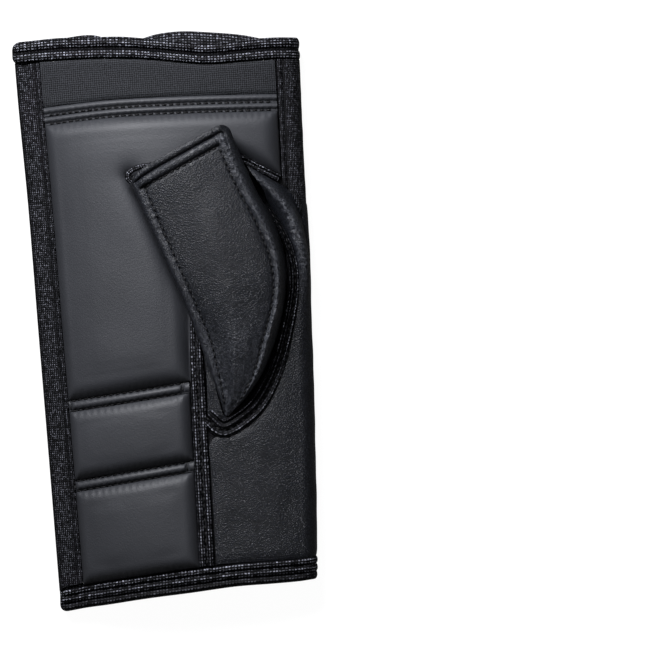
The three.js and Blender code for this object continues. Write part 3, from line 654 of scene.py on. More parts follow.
def sewn(name, rows, facing=1):
    """Stitches along rows of points. Each is a six-sided thread of five rings, whose radius is full in the
    middle and less towards its ends, which dip into the cloth. Facing is 1 where the cloth looks up and -1
    where it looks down."""
    wanted = sizes()
    pitch, reach, thick = wanted.stitch_pitch / MM, wanted.stitch_length / MM, wanted.thread / MM
    share = np.array([0, 0.16, 0.5, 0.84, 1.0])
    swell = np.array([0.5, 0.9, 1.0, 0.9, 0.5]) * thick / 2
    sink = np.array([1.0, 0.4, 0.0, 0.4, 1.0]) * thick * 0.7
    turn = np.arange(6) * np.pi / 3
    corners = len(turn) * len(share)
    stitches = []
    for row in rows:
        length = np.concatenate(([0], np.cumsum(np.linalg.norm(np.diff(row, axis=0), axis=1))))
        at = np.arange(0.4, length[-1] - reach, pitch)[:, None] + share * reach
        centre, ahead, behind = (
            np.stack([np.interp(at + shift, length, column) for column in row.T], axis=-1)
            for shift in (0, 0.3, -0.3)
        )
        forward = ahead - behind
        forward /= np.linalg.norm(forward, axis=-1, keepdims=True) + 1e-9
        side = np.cross(forward, (0, 0, facing))
        side /= np.linalg.norm(side, axis=-1, keepdims=True) + 1e-9
        up = np.cross(side, forward)
        centre = centre - up * sink[:, None]
        round_it = np.cos(turn)[:, None] * side[..., None, :] + np.sin(turn)[:, None] * up[..., None, :]
        ring = centre[..., None, :] + swell[:, None, None] * round_it
        stitches.append(ring.reshape(-1, corners, 3))
    points = np.concatenate(stitches)
    k, ring = np.meshgrid(np.arange(6), np.arange(4) * 6)
    sides = np.stack((ring + k, ring + (k + 1) % 6, ring + 6 + (k + 1) % 6, ring + 6 + k), axis=-1)
    ends = [(0, 5, 4, 3), (0, 3, 2, 1), (24, 25, 26, 27), (24, 27, 28, 29)]
    one = np.concatenate((sides.reshape(-1, 4), ends))
    faces = (one + corners * np.arange(len(points))[:, None, None]).reshape(-1, 4)
    piece = into_mesh(name, points.reshape(-1, 3), faces, sewing_thread())
    return belongs(piece, "woven_tape")


# Finishes

def feed(tree, node, inputs):
    """Fills a node's inputs, which are named or numbered: each takes a value, a socket, or a node whose
    first output is linked."""
    for name, value in inputs.items():
        source = value.outputs[0] if isinstance(value, bpy.types.Node) else value
        if isinstance(source, bpy.types.NodeSocket):
            tree.links.new(source, node.inputs[name])
        else:
            node.inputs[name].default_value = source


def put(tree, kind, inputs=None, **settings):
    """Adds one node and fills its inputs. Stops are a colour ramp's places and colours, and the other
    settings are the node's own. A Map Range's inputs 1 to 4 are the range it reads and the range it gives,
    and a Mix's are 0 for the share, 4 and 5 for two vectors, and 6 and 7 for two colours."""
    node = tree.nodes.new("ShaderNode" + kind)
    for name, value in settings.items():
        if name == "stops":
            ramp = node.color_ramp
            ramp.elements[0].position, ramp.elements[-1].position = value[0][0], value[-1][0]
            for at, _ in value[1:-1]:
                ramp.elements.new(at)
            for element, (_, colour) in zip(ramp.elements, value):
                element.color = (*colour[:3], 1)
        else:
            setattr(node, name, value)
    feed(tree, node, inputs or {})
    return node


def shade(colour, factor):
    """A colour made darker or lighter by a factor."""
    return [min(1, channel * factor) for channel in colour[:3]]


def shades(colour, *stops):
    """A ramp's stops in shades of one colour: the place and the factor of each."""
    return [(at, shade(colour, factor)) for at, factor in stops]


def made_once(name):
    """Turns a function into one that gives a material, made only once. The function takes the node tree and
    the objects' own coordinates, adds its nodes, and returns what goes into the shader's sockets."""

    def named(fill):
        @wraps(fill)
        def material():
            if name not in bpy.data.materials:
                made = bpy.data.materials.new(name)
                made.use_nodes = True
                tree = made.node_tree
                tree.nodes.clear()
                shader = put(tree, "BsdfPrincipled")
                put(tree, "OutputMaterial", {"Surface": shader})
                place = put(tree, "TexCoord").outputs["Object"]
                feed(tree, shader, fill(tree, place))
            return bpy.data.materials[name]

        return material

    return named


def per_metre(millimetres):
    """A texture's scale for features of a size in millimetres, as the objects' coordinates are in
    metres."""
    return 1 / (millimetres * MM)


def banded(millimetres):
    """A wave texture's scale for bands that far apart. It draws one band in 0.314 of a unit."""
    return 0.314 * per_metre(millimetres)


@made_once("smooth_pu_leather")
def smooth_leather(tree, place):
    """Polyurethane-coated microfibre, cast on smooth release paper: a soft, even sheen over a grain of
    about 0.6 mm that only just shows, with slow changes of gloss where it has been handled."""
    colour = colours().smooth_leather
    slow = put(tree, "TexNoise", {"Vector": place, "Scale": per_metre(26), "Detail": 3.0})
    grain = put(tree, "TexNoise", {"Vector": place, "Scale": per_metre(0.6), "Detail": 3.0})
    crease = put(tree, "TexNoise", {"Vector": place, "Scale": per_metre(2.2), "Detail": 4.0})
    tint = put(tree, "ValToRGB", {"Fac": slow}, stops=shades(colour, (0.3, 0.9), (0.7, 1.1)))
    gloss = put(tree, "MapRange", {"Value": slow, 1: 0.3, 2: 0.7, 3: 0.54, 4: 0.6})
    fine = put(tree, "Bump", {"Height": grain, "Distance": 0.0001, "Strength": 0.9})
    soft = put(tree, "Bump", {"Height": crease, "Distance": 0.0001, "Strength": 0.5, "Normal": fine})
    return {"Base Color": tint, "Roughness": gloss, "Normal": soft, "Specular IOR Level": 0.27}


@made_once("pebble_grained_leather")
def pebbled_leather(tree, place):
    """Polyurethane leather embossed with a pebble grain: cells of about 0.8 mm, rounded on top with fine
    grooves between them, and a glossier sheen on the raised cells than in the grooves. Where a piece asks
    for it, a painted highlight lightens the colour in specks."""
    colour = colours().grained_leather
    wander = put(tree, "TexNoise", {"Vector": place, "Scale": per_metre(1.5), "Detail": 2.0})
    bent = put(tree, "Mix", {0: 0.00035, 4: place, 5: wander.outputs["Color"]}, data_type="VECTOR")
    cells = put(tree, "TexVoronoi", {"Vector": bent.outputs[1], "Scale": per_metre(0.78)},
                feature="DISTANCE_TO_EDGE")
    domes = put(tree, "MapRange", {"Value": cells, 1: 0.0, 2: 0.4, 3: 0.0, 4: 1.0},
                interpolation_type="SMOOTHERSTEP")
    fine = put(tree, "TexNoise", {"Vector": place, "Scale": per_metre(0.7), "Detail": 2.0})
    slow = put(tree, "TexNoise", {"Vector": place, "Scale": per_metre(18), "Detail": 3.0})
    tint = put(tree, "ValToRGB", {"Fac": domes}, stops=shades(colour, (0.0, 0.3), (0.5, 0.9), (1.0, 1.4)))
    patchy = put(tree, "ValToRGB", {"Fac": slow}, stops=[(0.3, (0.8, 0.8, 0.8)), (0.7, (1.0, 1.0, 1.0))])
    worn = put(tree, "Mix", {0: 1.0, 6: tint, 7: patchy}, data_type="RGBA", blend_type="MULTIPLY")
    # Painted highlight: where the cloth columns ask for it, specks of the colour are painted towards a light
    # shade of the smooth leather.
    painted_highlight = put(tree, "SeparateXYZ", {0: put(tree, "UVMap", uv_map="crest")})
    mottle = put(tree, "TexNoise", {"Vector": place, "Scale": per_metre(1.1), "Detail": 4.0})
    specks = put(tree, "MapRange", {"Value": mottle, 1: 0.42, 2: 0.6, 3: 0.1, 4: 1.0})
    highlight_share = put(tree, "Math", {0: painted_highlight, 1: specks}, operation="MULTIPLY")
    highlight_colour = (*shade(colours().smooth_leather, 2.6), 1)
    highlighted = put(tree, "Mix", {0: highlight_share, 6: worn.outputs[2], 7: highlight_colour}, data_type="RGBA")
    gloss = put(tree, "MapRange", {"Value": domes, 1: 0.0, 2: 1.0, 3: 0.5, 4: 0.38})
    first = put(tree, "Bump", {"Height": fine, "Distance": 0.00013, "Strength": 1.0})
    relief = put(tree, "Bump", {"Height": domes, "Distance": 0.00014, "Strength": 0.9, "Normal": first})
    creases = put(tree, "TexNoise",
                  {"Vector": place, "Scale": per_metre(4.5), "Detail": 3.0, "Distortion": 0.8})
    handled = put(tree, "Bump", {"Height": creases, "Distance": 0.0003, "Strength": 0.5, "Normal": relief})
    return {"Base Color": highlighted.outputs[2], "Roughness": gloss, "Normal": handled,
            "Specular IOR Level": 0.22}


@made_once("woven_polyester_tape")
def woven_tape(tree, place):
    """Grosgrain binding tape of black polyester: ribs across the tape, and on each rib rounded crowns of
    thread, in line with those of the next. Some crowns get a painted highlight, brightest on the tape's
    crests, and the gaps between them and the grooves are painted nearly black as shade."""
    wanted, tints = sizes(), colours()
    rib, crown = wanted.rib_pitch / MM, wanted.crown_width / MM
    cloth = put(tree, "UVMap", uv_map="cloth").outputs[0]
    jitter = put(tree, "TexNoise", {"Vector": place, "Scale": per_metre(1.1), "Detail": 1.0})
    bent = put(tree, "VectorMath", {0: jitter.outputs["Color"], 1: (0.4, 0.4, 0), 2: cloth},
               operation="MULTIPLY_ADD")
    drawn_out = put(tree, "VectorMath", {0: bent, 1: (0.75, 1, 1)}, operation="MULTIPLY")
    weave = put(tree, "TexBrick",
                {"Vector": drawn_out, "Color1": (0.5, 0.5, 0.5, 1), "Color2": (1, 1, 1, 1),
                 "Mortar": (0, 0, 0, 1), "Scale": 1.0, "Mortar Size": 0.43, "Mortar Smooth": 1.0,
                 "Bias": 0.0, "Brick Width": 0.75 * crown, "Row Height": rib},
                offset=0.0, offset_frequency=2, squash=1.0, squash_frequency=2)
    crest = put(tree, "SeparateXYZ", {0: put(tree, "UVMap", uv_map="crest")})
    painted_light_share = put(tree, "MapRange", {"Value": crest, 1: 0.0, 2: 1.0, 3: 0.06, 4: 1.0})
    patch = put(tree, "TexNoise", {"Vector": place, "Scale": per_metre(1.4), "Detail": 3.0})
    lit = put(tree, "MapRange", {"Value": patch, 1: 0.36, 2: 0.66, 3: 0.5, 4: 1.1})
    bright = put(tree, "Math", {0: weave.outputs["Color"], 1: lit}, operation="MULTIPLY")
    # Painted shade darkens the gaps between crowns, and painted highlights lighten the crowns.
    stops = shades(tints.tape, (0.0, 0.5), (0.25, 1.0)) + shades(tints.tape_glint, (0.48, 0.5), (0.75, 1.5))
    tint = put(tree, "ValToRGB", {"Fac": bright}, stops=stops)
    # Painted light: crests take the painted glints, and grooves keep the dark tape colour as painted shade.
    mixed = put(tree, "Mix", {0: painted_light_share, 6: (*tints.tape, 1), 7: tint}, data_type="RGBA")
    raised = put(tree, "Math", {0: 1.0, 1: weave.outputs["Fac"]}, operation="SUBTRACT")
    relief = put(tree, "Bump", {"Height": raised, "Distance": 0.00025, "Strength": 0.9})
    return {"Base Color": mixed.outputs[2], "Roughness": 0.55, "Normal": relief, "Specular IOR Level": 0.05}


@made_once("warp_knit_polyester")
def knit_cloth(tree, place):
    """Warp-knit polyester laminated to foam: a fine diagonal rib at 0.9 mm, matte and near black."""
    colour = colours().knit
    turned = put(tree, "Mapping", {"Vector": place, "Rotation": (0, 0, math.radians(38))})
    rows = put(tree, "TexWave",
               {"Vector": turned, "Scale": banded(0.9), "Distortion": 1.6, "Detail": 2.0,
                "Detail Scale": 1.4}, bands_direction="X")
    wales = put(tree, "TexWave",
                {"Vector": turned, "Scale": banded(0.7), "Distortion": 1.0, "Detail": 1.0},
                bands_direction="Y")
    loops = put(tree, "Math", {0: rows, 1: wales}, operation="MULTIPLY")
    slow = put(tree, "TexNoise", {"Vector": place, "Scale": per_metre(9), "Detail": 3.0})
    mixed = put(tree, "Math", {0: loops, 1: slow}, operation="MULTIPLY")
    tint = put(tree, "ValToRGB", {"Fac": mixed}, stops=shades(colour, (0.0, 0.5), (0.25, 1.0), (0.6, 2.2)))
    relief = put(tree, "Bump", {"Height": loops, "Distance": 0.00018, "Strength": 0.8})
    return {"Base Color": tint, "Roughness": 0.85, "Normal": relief, "Specular IOR Level": 0.08}


@made_once("nylon_loop_pile")
def loop_pile(tree, place):
    """The loop side of a hook-and-loop closure: brushed nylon loops in tufts about 1 mm apart, which
    scatter most light away and glint here and there."""
    colour = colours().loop_pile
    loops = put(tree, "TexNoise",
                {"Vector": place, "Scale": per_metre(1.05), "Detail": 2.0, "Distortion": 0.6})
    tint = put(tree, "ValToRGB", {"Fac": loops},
               stops=shades(colour, (0.42, 0.3), (0.54, 1.0), (0.68, 6.0)))
    relief = put(tree, "Bump", {"Height": loops, "Distance": 0.0006, "Strength": 1.0})
    return {"Base Color": tint, "Roughness": 0.95, "Normal": relief, "Specular IOR Level": 0.03}


@made_once("crosshatched_nylon")
def nylon_cloth(tree, place):
    """Crosshatched nylon: two sets of threads at right angles, 1.3 mm apart, laid over foam, with a dull
    glint on the thread crossings."""
    colour = colours().nylon
    turned = put(tree, "Mapping", {"Vector": place, "Rotation": (0, 0, math.radians(51))})
    threads = {"Vector": turned, "Scale": banded(1.3), "Distortion": 1.1, "Detail": 1.0}
    warp, weft = (put(tree, "TexWave", threads, bands_direction=way) for way in "XY")
    crossing = put(tree, "Math", {0: warp, 1: weft}, operation="MULTIPLY")
    slow = put(tree, "TexNoise", {"Vector": place, "Scale": per_metre(2.4), "Detail": 3.0})
    mixed = put(tree, "Math", {0: crossing, 1: slow}, operation="MULTIPLY")
    tint = put(tree, "ValToRGB", {"Fac": mixed},
               stops=shades(colour, (0.0, 0.35), (0.25, 1.0), (0.55, 5.0)))
    relief = put(tree, "Bump", {"Height": crossing, "Distance": 0.0002, "Strength": 0.9})
    return {"Base Color": tint, "Roughness": 0.7, "Normal": relief, "Specular IOR Level": 0.04}


@made_once("brushed_woven_polyester")
def band_cloth(tree, place):
    """Brushed woven polyester of the finger band: very fine threads, drawn as coarse as 0.85 mm so that
    they show as a faint check, matte."""
    colour = colours().band
    threads = {"Vector": place, "Scale": banded(0.85), "Distortion": 2.5, "Detail": 2.0}
    warp, weft = (put(tree, "TexWave", threads, bands_direction=way) for way in "XY")
    check = put(tree, "Math", {0: warp, 1: weft}, operation="ADD")
    fuzz = put(tree, "TexNoise", {"Vector": place, "Scale": per_metre(0.5), "Detail": 3.0})
    mixed = put(tree, "Math", {0: check, 1: fuzz}, operation="MULTIPLY")
    tint = put(tree, "ValToRGB", {"Fac": mixed}, stops=shades(colour, (0.25, 0.25), (0.5, 1.0), (0.8, 2.2)))
    relief = put(tree, "Bump", {"Height": mixed, "Distance": 0.0001, "Strength": 0.7})
    return {"Base Color": tint, "Roughness": 0.78, "Normal": relief, "Specular IOR Level": 0.1}


@made_once("matte_coated_patch")
def patch_leather(tree, place):
    """The patch's rubbery coated fabric: matte and plain, with a grain of about 0.5 mm."""
    colour = colours().patch
    grain = put(tree, "TexNoise", {"Vector": place, "Scale": per_metre(0.5), "Detail": 3.0})
    slow = put(tree, "TexNoise", {"Vector": place, "Scale": per_metre(14), "Detail": 2.0})
    tint = put(tree, "ValToRGB", {"Fac": slow}, stops=shades(colour, (0.3, 0.85), (0.7, 1.15)))
    relief = put(tree, "Bump", {"Height": grain, "Distance": 0.00006, "Strength": 0.8})
    return {"Base Color": tint, "Roughness": 0.6, "Normal": relief, "Specular IOR Level": 0.07}


@made_once("bonded_nylon_thread")
def sewing_thread(tree, place):
    """Bonded nylon thread, twisted from three plies that show as slanting bands, slightly waxy."""
    colour = colours().thread
    turned = put(tree, "Mapping", {"Vector": place, "Rotation": (0, 0, math.radians(35))})
    plies = put(tree, "TexWave", {"Vector": turned, "Scale": banded(0.45)}, bands_direction="X")
    tint = put(tree, "ValToRGB", {"Fac": plies}, stops=shades(colour, (0.0, 0.5), (1.0, 1.5)))
    relief = put(tree, "Bump", {"Height": plies, "Distance": 0.00006, "Strength": 0.8})
    return {"Base Color": tint, "Roughness": 0.55, "Normal": relief, "Specular IOR Level": 0.15}


@made_once("white_backlit_paper")
def studio_paper(tree, place):
    """Translucent white paper over a light table: matte, with a fibre that hardly shows and hardly any
    shadow."""
    colour = colours().paper
    fibre = put(tree, "TexNoise", {"Vector": place, "Scale": per_metre(3), "Detail": 4.0})
    tint = put(tree, "ValToRGB", {"Fac": fibre}, stops=shades(colour, (0.2, 0.985), (0.8, 1.0)))
    return {"Base Color": tint, "Roughness": 0.95, "Specular IOR Level": 0.1,
            "Emission Color": (1, 1, 1, 1), "Emission Strength": 0.965}


# Pieces

def palm_wall():
    """The palm's padded wall follows the skin at the leather's depth, on the flat and over the fold, and is
    open inside the outline of the thumb's hole."""
    across, up = shares(110, 220)
    near = between(-105, 105, up)
    along = over_fold(pinky_inner(near) - fold_start(near), FOLD_SEAM - 0.7, 0.8, across)
    seen = skin(along, near, 0)[..., 0]
    y = between(palm_foot(seen), palm_head(seen), up)
    outer, inner = skin(along, y, -(LEATHER + GAP)), skin(along, y, -(LEATHER + GAP + WALL))
    keep = ~cells_inside(outer[..., 0], outer[..., 1], THUMB_HOLE)
    return shell("palm_wall", outer, inner, knit_cloth(), keep)


def back_wall():
    """The back's padded wall lies level, and rises over the flap and the edge that is turned in."""
    x, y = field(pinky_inner, back_edge, back_foot, back_head, 100, 180)
    foot = LOOP + GAP + 0.2 + 0.12 * ripple(x, y, 14, 3)
    return shell("back_wall", over_back(x, y, foot), over_back(x, y, foot + WALL - 0.1), knit_cloth())


class GLOVE_OT_walls(bpy.types.Operator):
    """Makes the padded walls of the palm and the back"""

    bl_idname = "glove.walls"
    bl_label = "Padded walls"

    def execute(self, context):
        belongs(palm_wall(), "knit_cloth", "palm_panel")
        belongs(back_wall(), "knit_cloth", "back_panel")
        return {"FINISHED"}


def pad_rise(x, y, seams, roll, puckers, wave, seed):
    """A pad's rise: plump by the distances to its seams, with puckers at its stitches, a slow unevenness
    that fades towards the seams, and the swelling of its foam."""
    rise = plump(seams, roll, sizes().pad_crown / MM) + puckers
    rise = rise + 0.1 * ripple(x, y, wave, seed) * np.clip(rise / 4, 0, 1)
    return rise + swollen(x, y, rise) * smoothstep(rise, 0.4, 2.2)


def palm_pad():
    """The large pad fills the field between the pinky tape, the tucks and the seam tape. It is plump by its
    distance to each of them, puckers a little at the stitches of its two crosswise rows, and is pressed
    down along the thumb stall's free edge."""
    low, high = (lambda x: heel_tuck(x) + HEEL_ROOM), (lambda x: pad_tuck(x) - FINGER_ROOM)
    x, y = field(pinky_inner, steady(PAD_SIDE), low, high, 170, 200)
    tape, _ = evenly(SEAM_TAPE, 0.8)
    cut = np.concatenate((tape[tape[:, 1] > -36, :2], [(62, 50), (62, -60), (8.8, -60)]))
    beyond = inside(x, y, cut)
    half = np.where(x > 24, 1.2, np.interp(y, tape[:60, 1], tape[:60, 2]) / 2)
    to_tape = np.where(beyond, 0, distance_to(x, y, tape) - half)
    left, right, foot, head = x - pinky_inner(y), PAD_SIDE - x, y - low(x), high(x) - y
    seams = (1.8 * left + 0.5, right + 0.5, foot + 0.2, head + 0.8, to_tape)
    puckers = 0.1 * stitch_wave(x) * (bell(foot - 1, 1.6) + bell(head - 1, 1.6))
    rise = pad_rise(x, y, seams, 7.0, puckers, 30, 11)
    stall_edge = distance_to(x, y, strung(STALL[3:, :2], np.linspace(0, 1, 80)) + (0.6, 0))
    rise = np.where(beyond, -0.4, rise - 0.95 * rise * np.exp(-stall_edge / 2.4))
    return on_palm("palm_pad_leather", x, y, rise, smooth_leather(), ~cells_inside(x, y, cut))


def small_pad(name, low, high, seed):
    """A small pad between two crosswise rows, the pinky tape and the seam tape, plump by its distances to
    them."""
    x, y = field(pinky_inner, steady(SEAM_SIDE), low, high, 90, 56)
    left, right, foot, head = x - pinky_inner(y), SEAM_SIDE - x, y - low(x), high(x) - y
    seams = (1.8 * left + 0.5, right + 0.2, foot + 0.2, head + 1.2)
    puckers = stitch_wave(x) * (0.1 * bell(foot - 1, 1.6) + 0.16 * bell(head - 0.9, 1.4))
    return on_palm(name, x, y, pad_rise(x, y, seams, 6.0, puckers, 24, seed), smooth_leather())


class GLOVE_OT_palm_pads(bpy.types.Operator):
    """Makes the large palm pad and the two small pads below it"""

    bl_idname = "glove.palm_pads"
    bl_label = "Palm pads"

    def execute(self, context):
        belongs(palm_pad(), "smooth_leather", "palm_pad")
        heel = small_pad("heel_pad_leather", lambda x: wrist_tuck(x) + HEEL_ROOM,
                         lambda x: heel_tuck(x) - HEEL_ROOM, 5)
        belongs(heel, "smooth_leather", "heel_pad")
        wrist = small_pad("wrist_pad_leather", palm_foot, lambda x: wrist_tuck(x) - HEEL_ROOM, 7)
        belongs(wrist, "smooth_leather", "wrist_pad")
        return {"FINISHED"}


def finger_tuck_rise(off, x):
    """A finger-end tuck, by the distance up from its lower edge: flat where it is sewn, then a rounded roll
    whose lower side gives a little between the stitches."""
    start, end = 0.85 + 0.12 * stitch_wave(x), FINGER_TUCK + TUCK_LIP
    return hump((off - start) / (end - start), 0.8) - 0.25


def heel_tuck_rise(off, x):
    """A heel tuck, by the distance from its middle: a rounded roll between two sewn rows, pinched at every
    stitch and tied down by a short row across it at both ends."""
    half = 1.75 + 0.13 * stitch_wave(x)
    tied = 1 - 0.95 * (bell(x - TIES[0], 0.75) + bell(x - TIES[1], 0.75))
    ends = 1 - 0.35 * ((x < TIES[0]) | (x > TIES[1]))
    return 1.6 * hump((off + half) / (2 * half), 0.6) * tied * ends - 0.1


class GLOVE_OT_tucks(bpy.types.Operator):
    """Makes the narrow sewn tucks across the palm"""

    bl_idname = "glove.tucks"
    bl_label = "Sewn tucks"

    def execute(self, context):
        fingers = (("finger_tuck", finger_tuck, FINGER_TUCK), ("pad_tuck", pad_tuck, PAD_TUCK))
        for name, row, width in fingers:
            x, y = field(pinky_inner, steady(PAD_SIDE), lambda x: row(x) - width / 2 - TUCK_LIP,
                         lambda x: row(x) + width / 2, 330, 18)
            off = y - row(x) + width / 2 + TUCK_LIP
            rise = finger_tuck_rise(off * (FINGER_TUCK + TUCK_LIP) / (width + TUCK_LIP), x)
            belongs(on_palm(name + "_leather", x, y, rise, smooth_leather()), "smooth_leather", name)
        for name, row in (("heel_tuck", heel_tuck), ("wrist_tuck", wrist_tuck)):
            x, y = field(pinky_inner, steady(SEAM_SIDE), lambda x: row(x) - HEEL_TUCK / 2,
                         lambda x: row(x) + HEEL_TUCK / 2, 190, 18)
            rise = heel_tuck_rise(y - row(x), x)
            belongs(on_palm(name + "_leather", x, y, rise, smooth_leather()), "smooth_leather", name)
        return {"FINISHED"}


class GLOVE_OT_finger_band(bpy.types.Operator):
    """Makes the band of cloth below the finger end"""

    bl_idname = "glove.finger_band"
    bl_label = "Finger band"

    def execute(self, context):
        low = lambda x: finger_tuck(x) + FINGER_ROOM
        x, y = field(pinky_inner, steady(PAD_SIDE), low, palm_head, 150, 40)
        rise = 0.12 * ripple(x, y, 16, 21) - 0.5 * (bell(y - low(x), 0.8) + bell(palm_head(x) - y, 0.8))
        piece = on_palm("finger_band_cloth", x, y, rise, band_cloth())
        belongs(piece, "band_cloth", "finger_band")
        return {"FINISHED"}


def gusset():
    """The leather on the thumb's side. Each row runs from the bound edge of the opening round the
    thumb-side fold to where it is turned in, along a ladder of rungs between the two edges. It is a little
    plump inside its seams, and a rounded fold of it stands up beside the opening."""
    straight = np.array([(12.4, y) for y in (-100.2, -90, -80, -70, -60, -52)])
    straight = unrolled(straight, along_palm)
    tape = unrolled(THUMB_TAPE, along_palm)
    spine = strung(tape, np.linspace(0.16, 1, 18))
    bound = spine[:, :2] + beside(spine) * (spine[:, 2:3] / 2 + 0.5)
    last = unrolled([(39.7, 49.4), (36.6, 54.4), (33.8, 59.2)], along_palm)
    inner_edge = np.concatenate((straight, bound, last))
    outer_y = -99.7 + 141.2 * np.linspace(0, 1, len(inner_edge)) ** 1.2
    turned_in = between(FOLD_EDGE, FOLD_SEAM - 0.7, smoothstep(outer_y, -38, -29))
    ladder = np.column_stack((inner_edge, turned_in, outer_y))
    rungs = strung(ladder, np.linspace(0, 1, 221))[:, None]
    across = np.linspace(0, 1, 91)[None, :]
    along = over_fold(rungs[..., 0], rungs[..., 2], 0.62, across)
    share = (along - rungs[..., 0]) / (rungs[..., 2] - rungs[..., 0])
    y = between(rungs[..., 1], rungs[..., 3], share)
    plumped = plump((along - rungs[..., 0] + 0.4, rungs[..., 2] - along + 2, y + 100.4), 5.0, 0.9)
    fold = strung(unrolled(GUSSET_FOLD, along_palm), np.linspace(0, 1, 120))
    beside_fold = distance_to(along, y, fold)
    folded = 4.4 * bell(beside_fold, 3.1) * smoothstep(y, 0, 24) * smoothstep(13 - along, 0, 8)
    dip = 1.2 * bell(beside_fold - 5.0, 1.5) * smoothstep(y, 5, 25) * smoothstep(10 - along, 0, 6)
    crumple = 0.2 * ripple(along, y, 3.2, 33) * bell(beside_fold, 3.5) * smoothstep(y, 8, 24)
    rise = plumped + folded - dip + crumple + 0.12 * ripple(along, y, 13, 31) - 0.3
    # Painted highlight along the crest of the fold.
    painted_highlight = 0.75 * bell(beside_fold, 1.7) * smoothstep(y, -4, 22)
    return shell("gusset_leather", skin(along, y, rise), skin(along, y, -LEATHER), pebbled_leather(),
                 cloth=with_painted_highlight(along, y, painted_highlight))


class GLOVE_OT_gusset(bpy.types.Operator):
    """Makes the pebble-grained leather on the thumb's side"""

    bl_idname = "glove.gusset"
    bl_label = "Thumb gusset"

    def execute(self, context):
        piece = belongs(gusset(), "grained_leather", "thumb_gusset")
        return {"FINISHED"}


def into_stall(x, y):
    """How far points lie inside the line of the stall's mouth."""
    return (x - MOUTH[0]) * MOUTH_IN[0] + (y - MOUTH[1]) * MOUTH_IN[1]


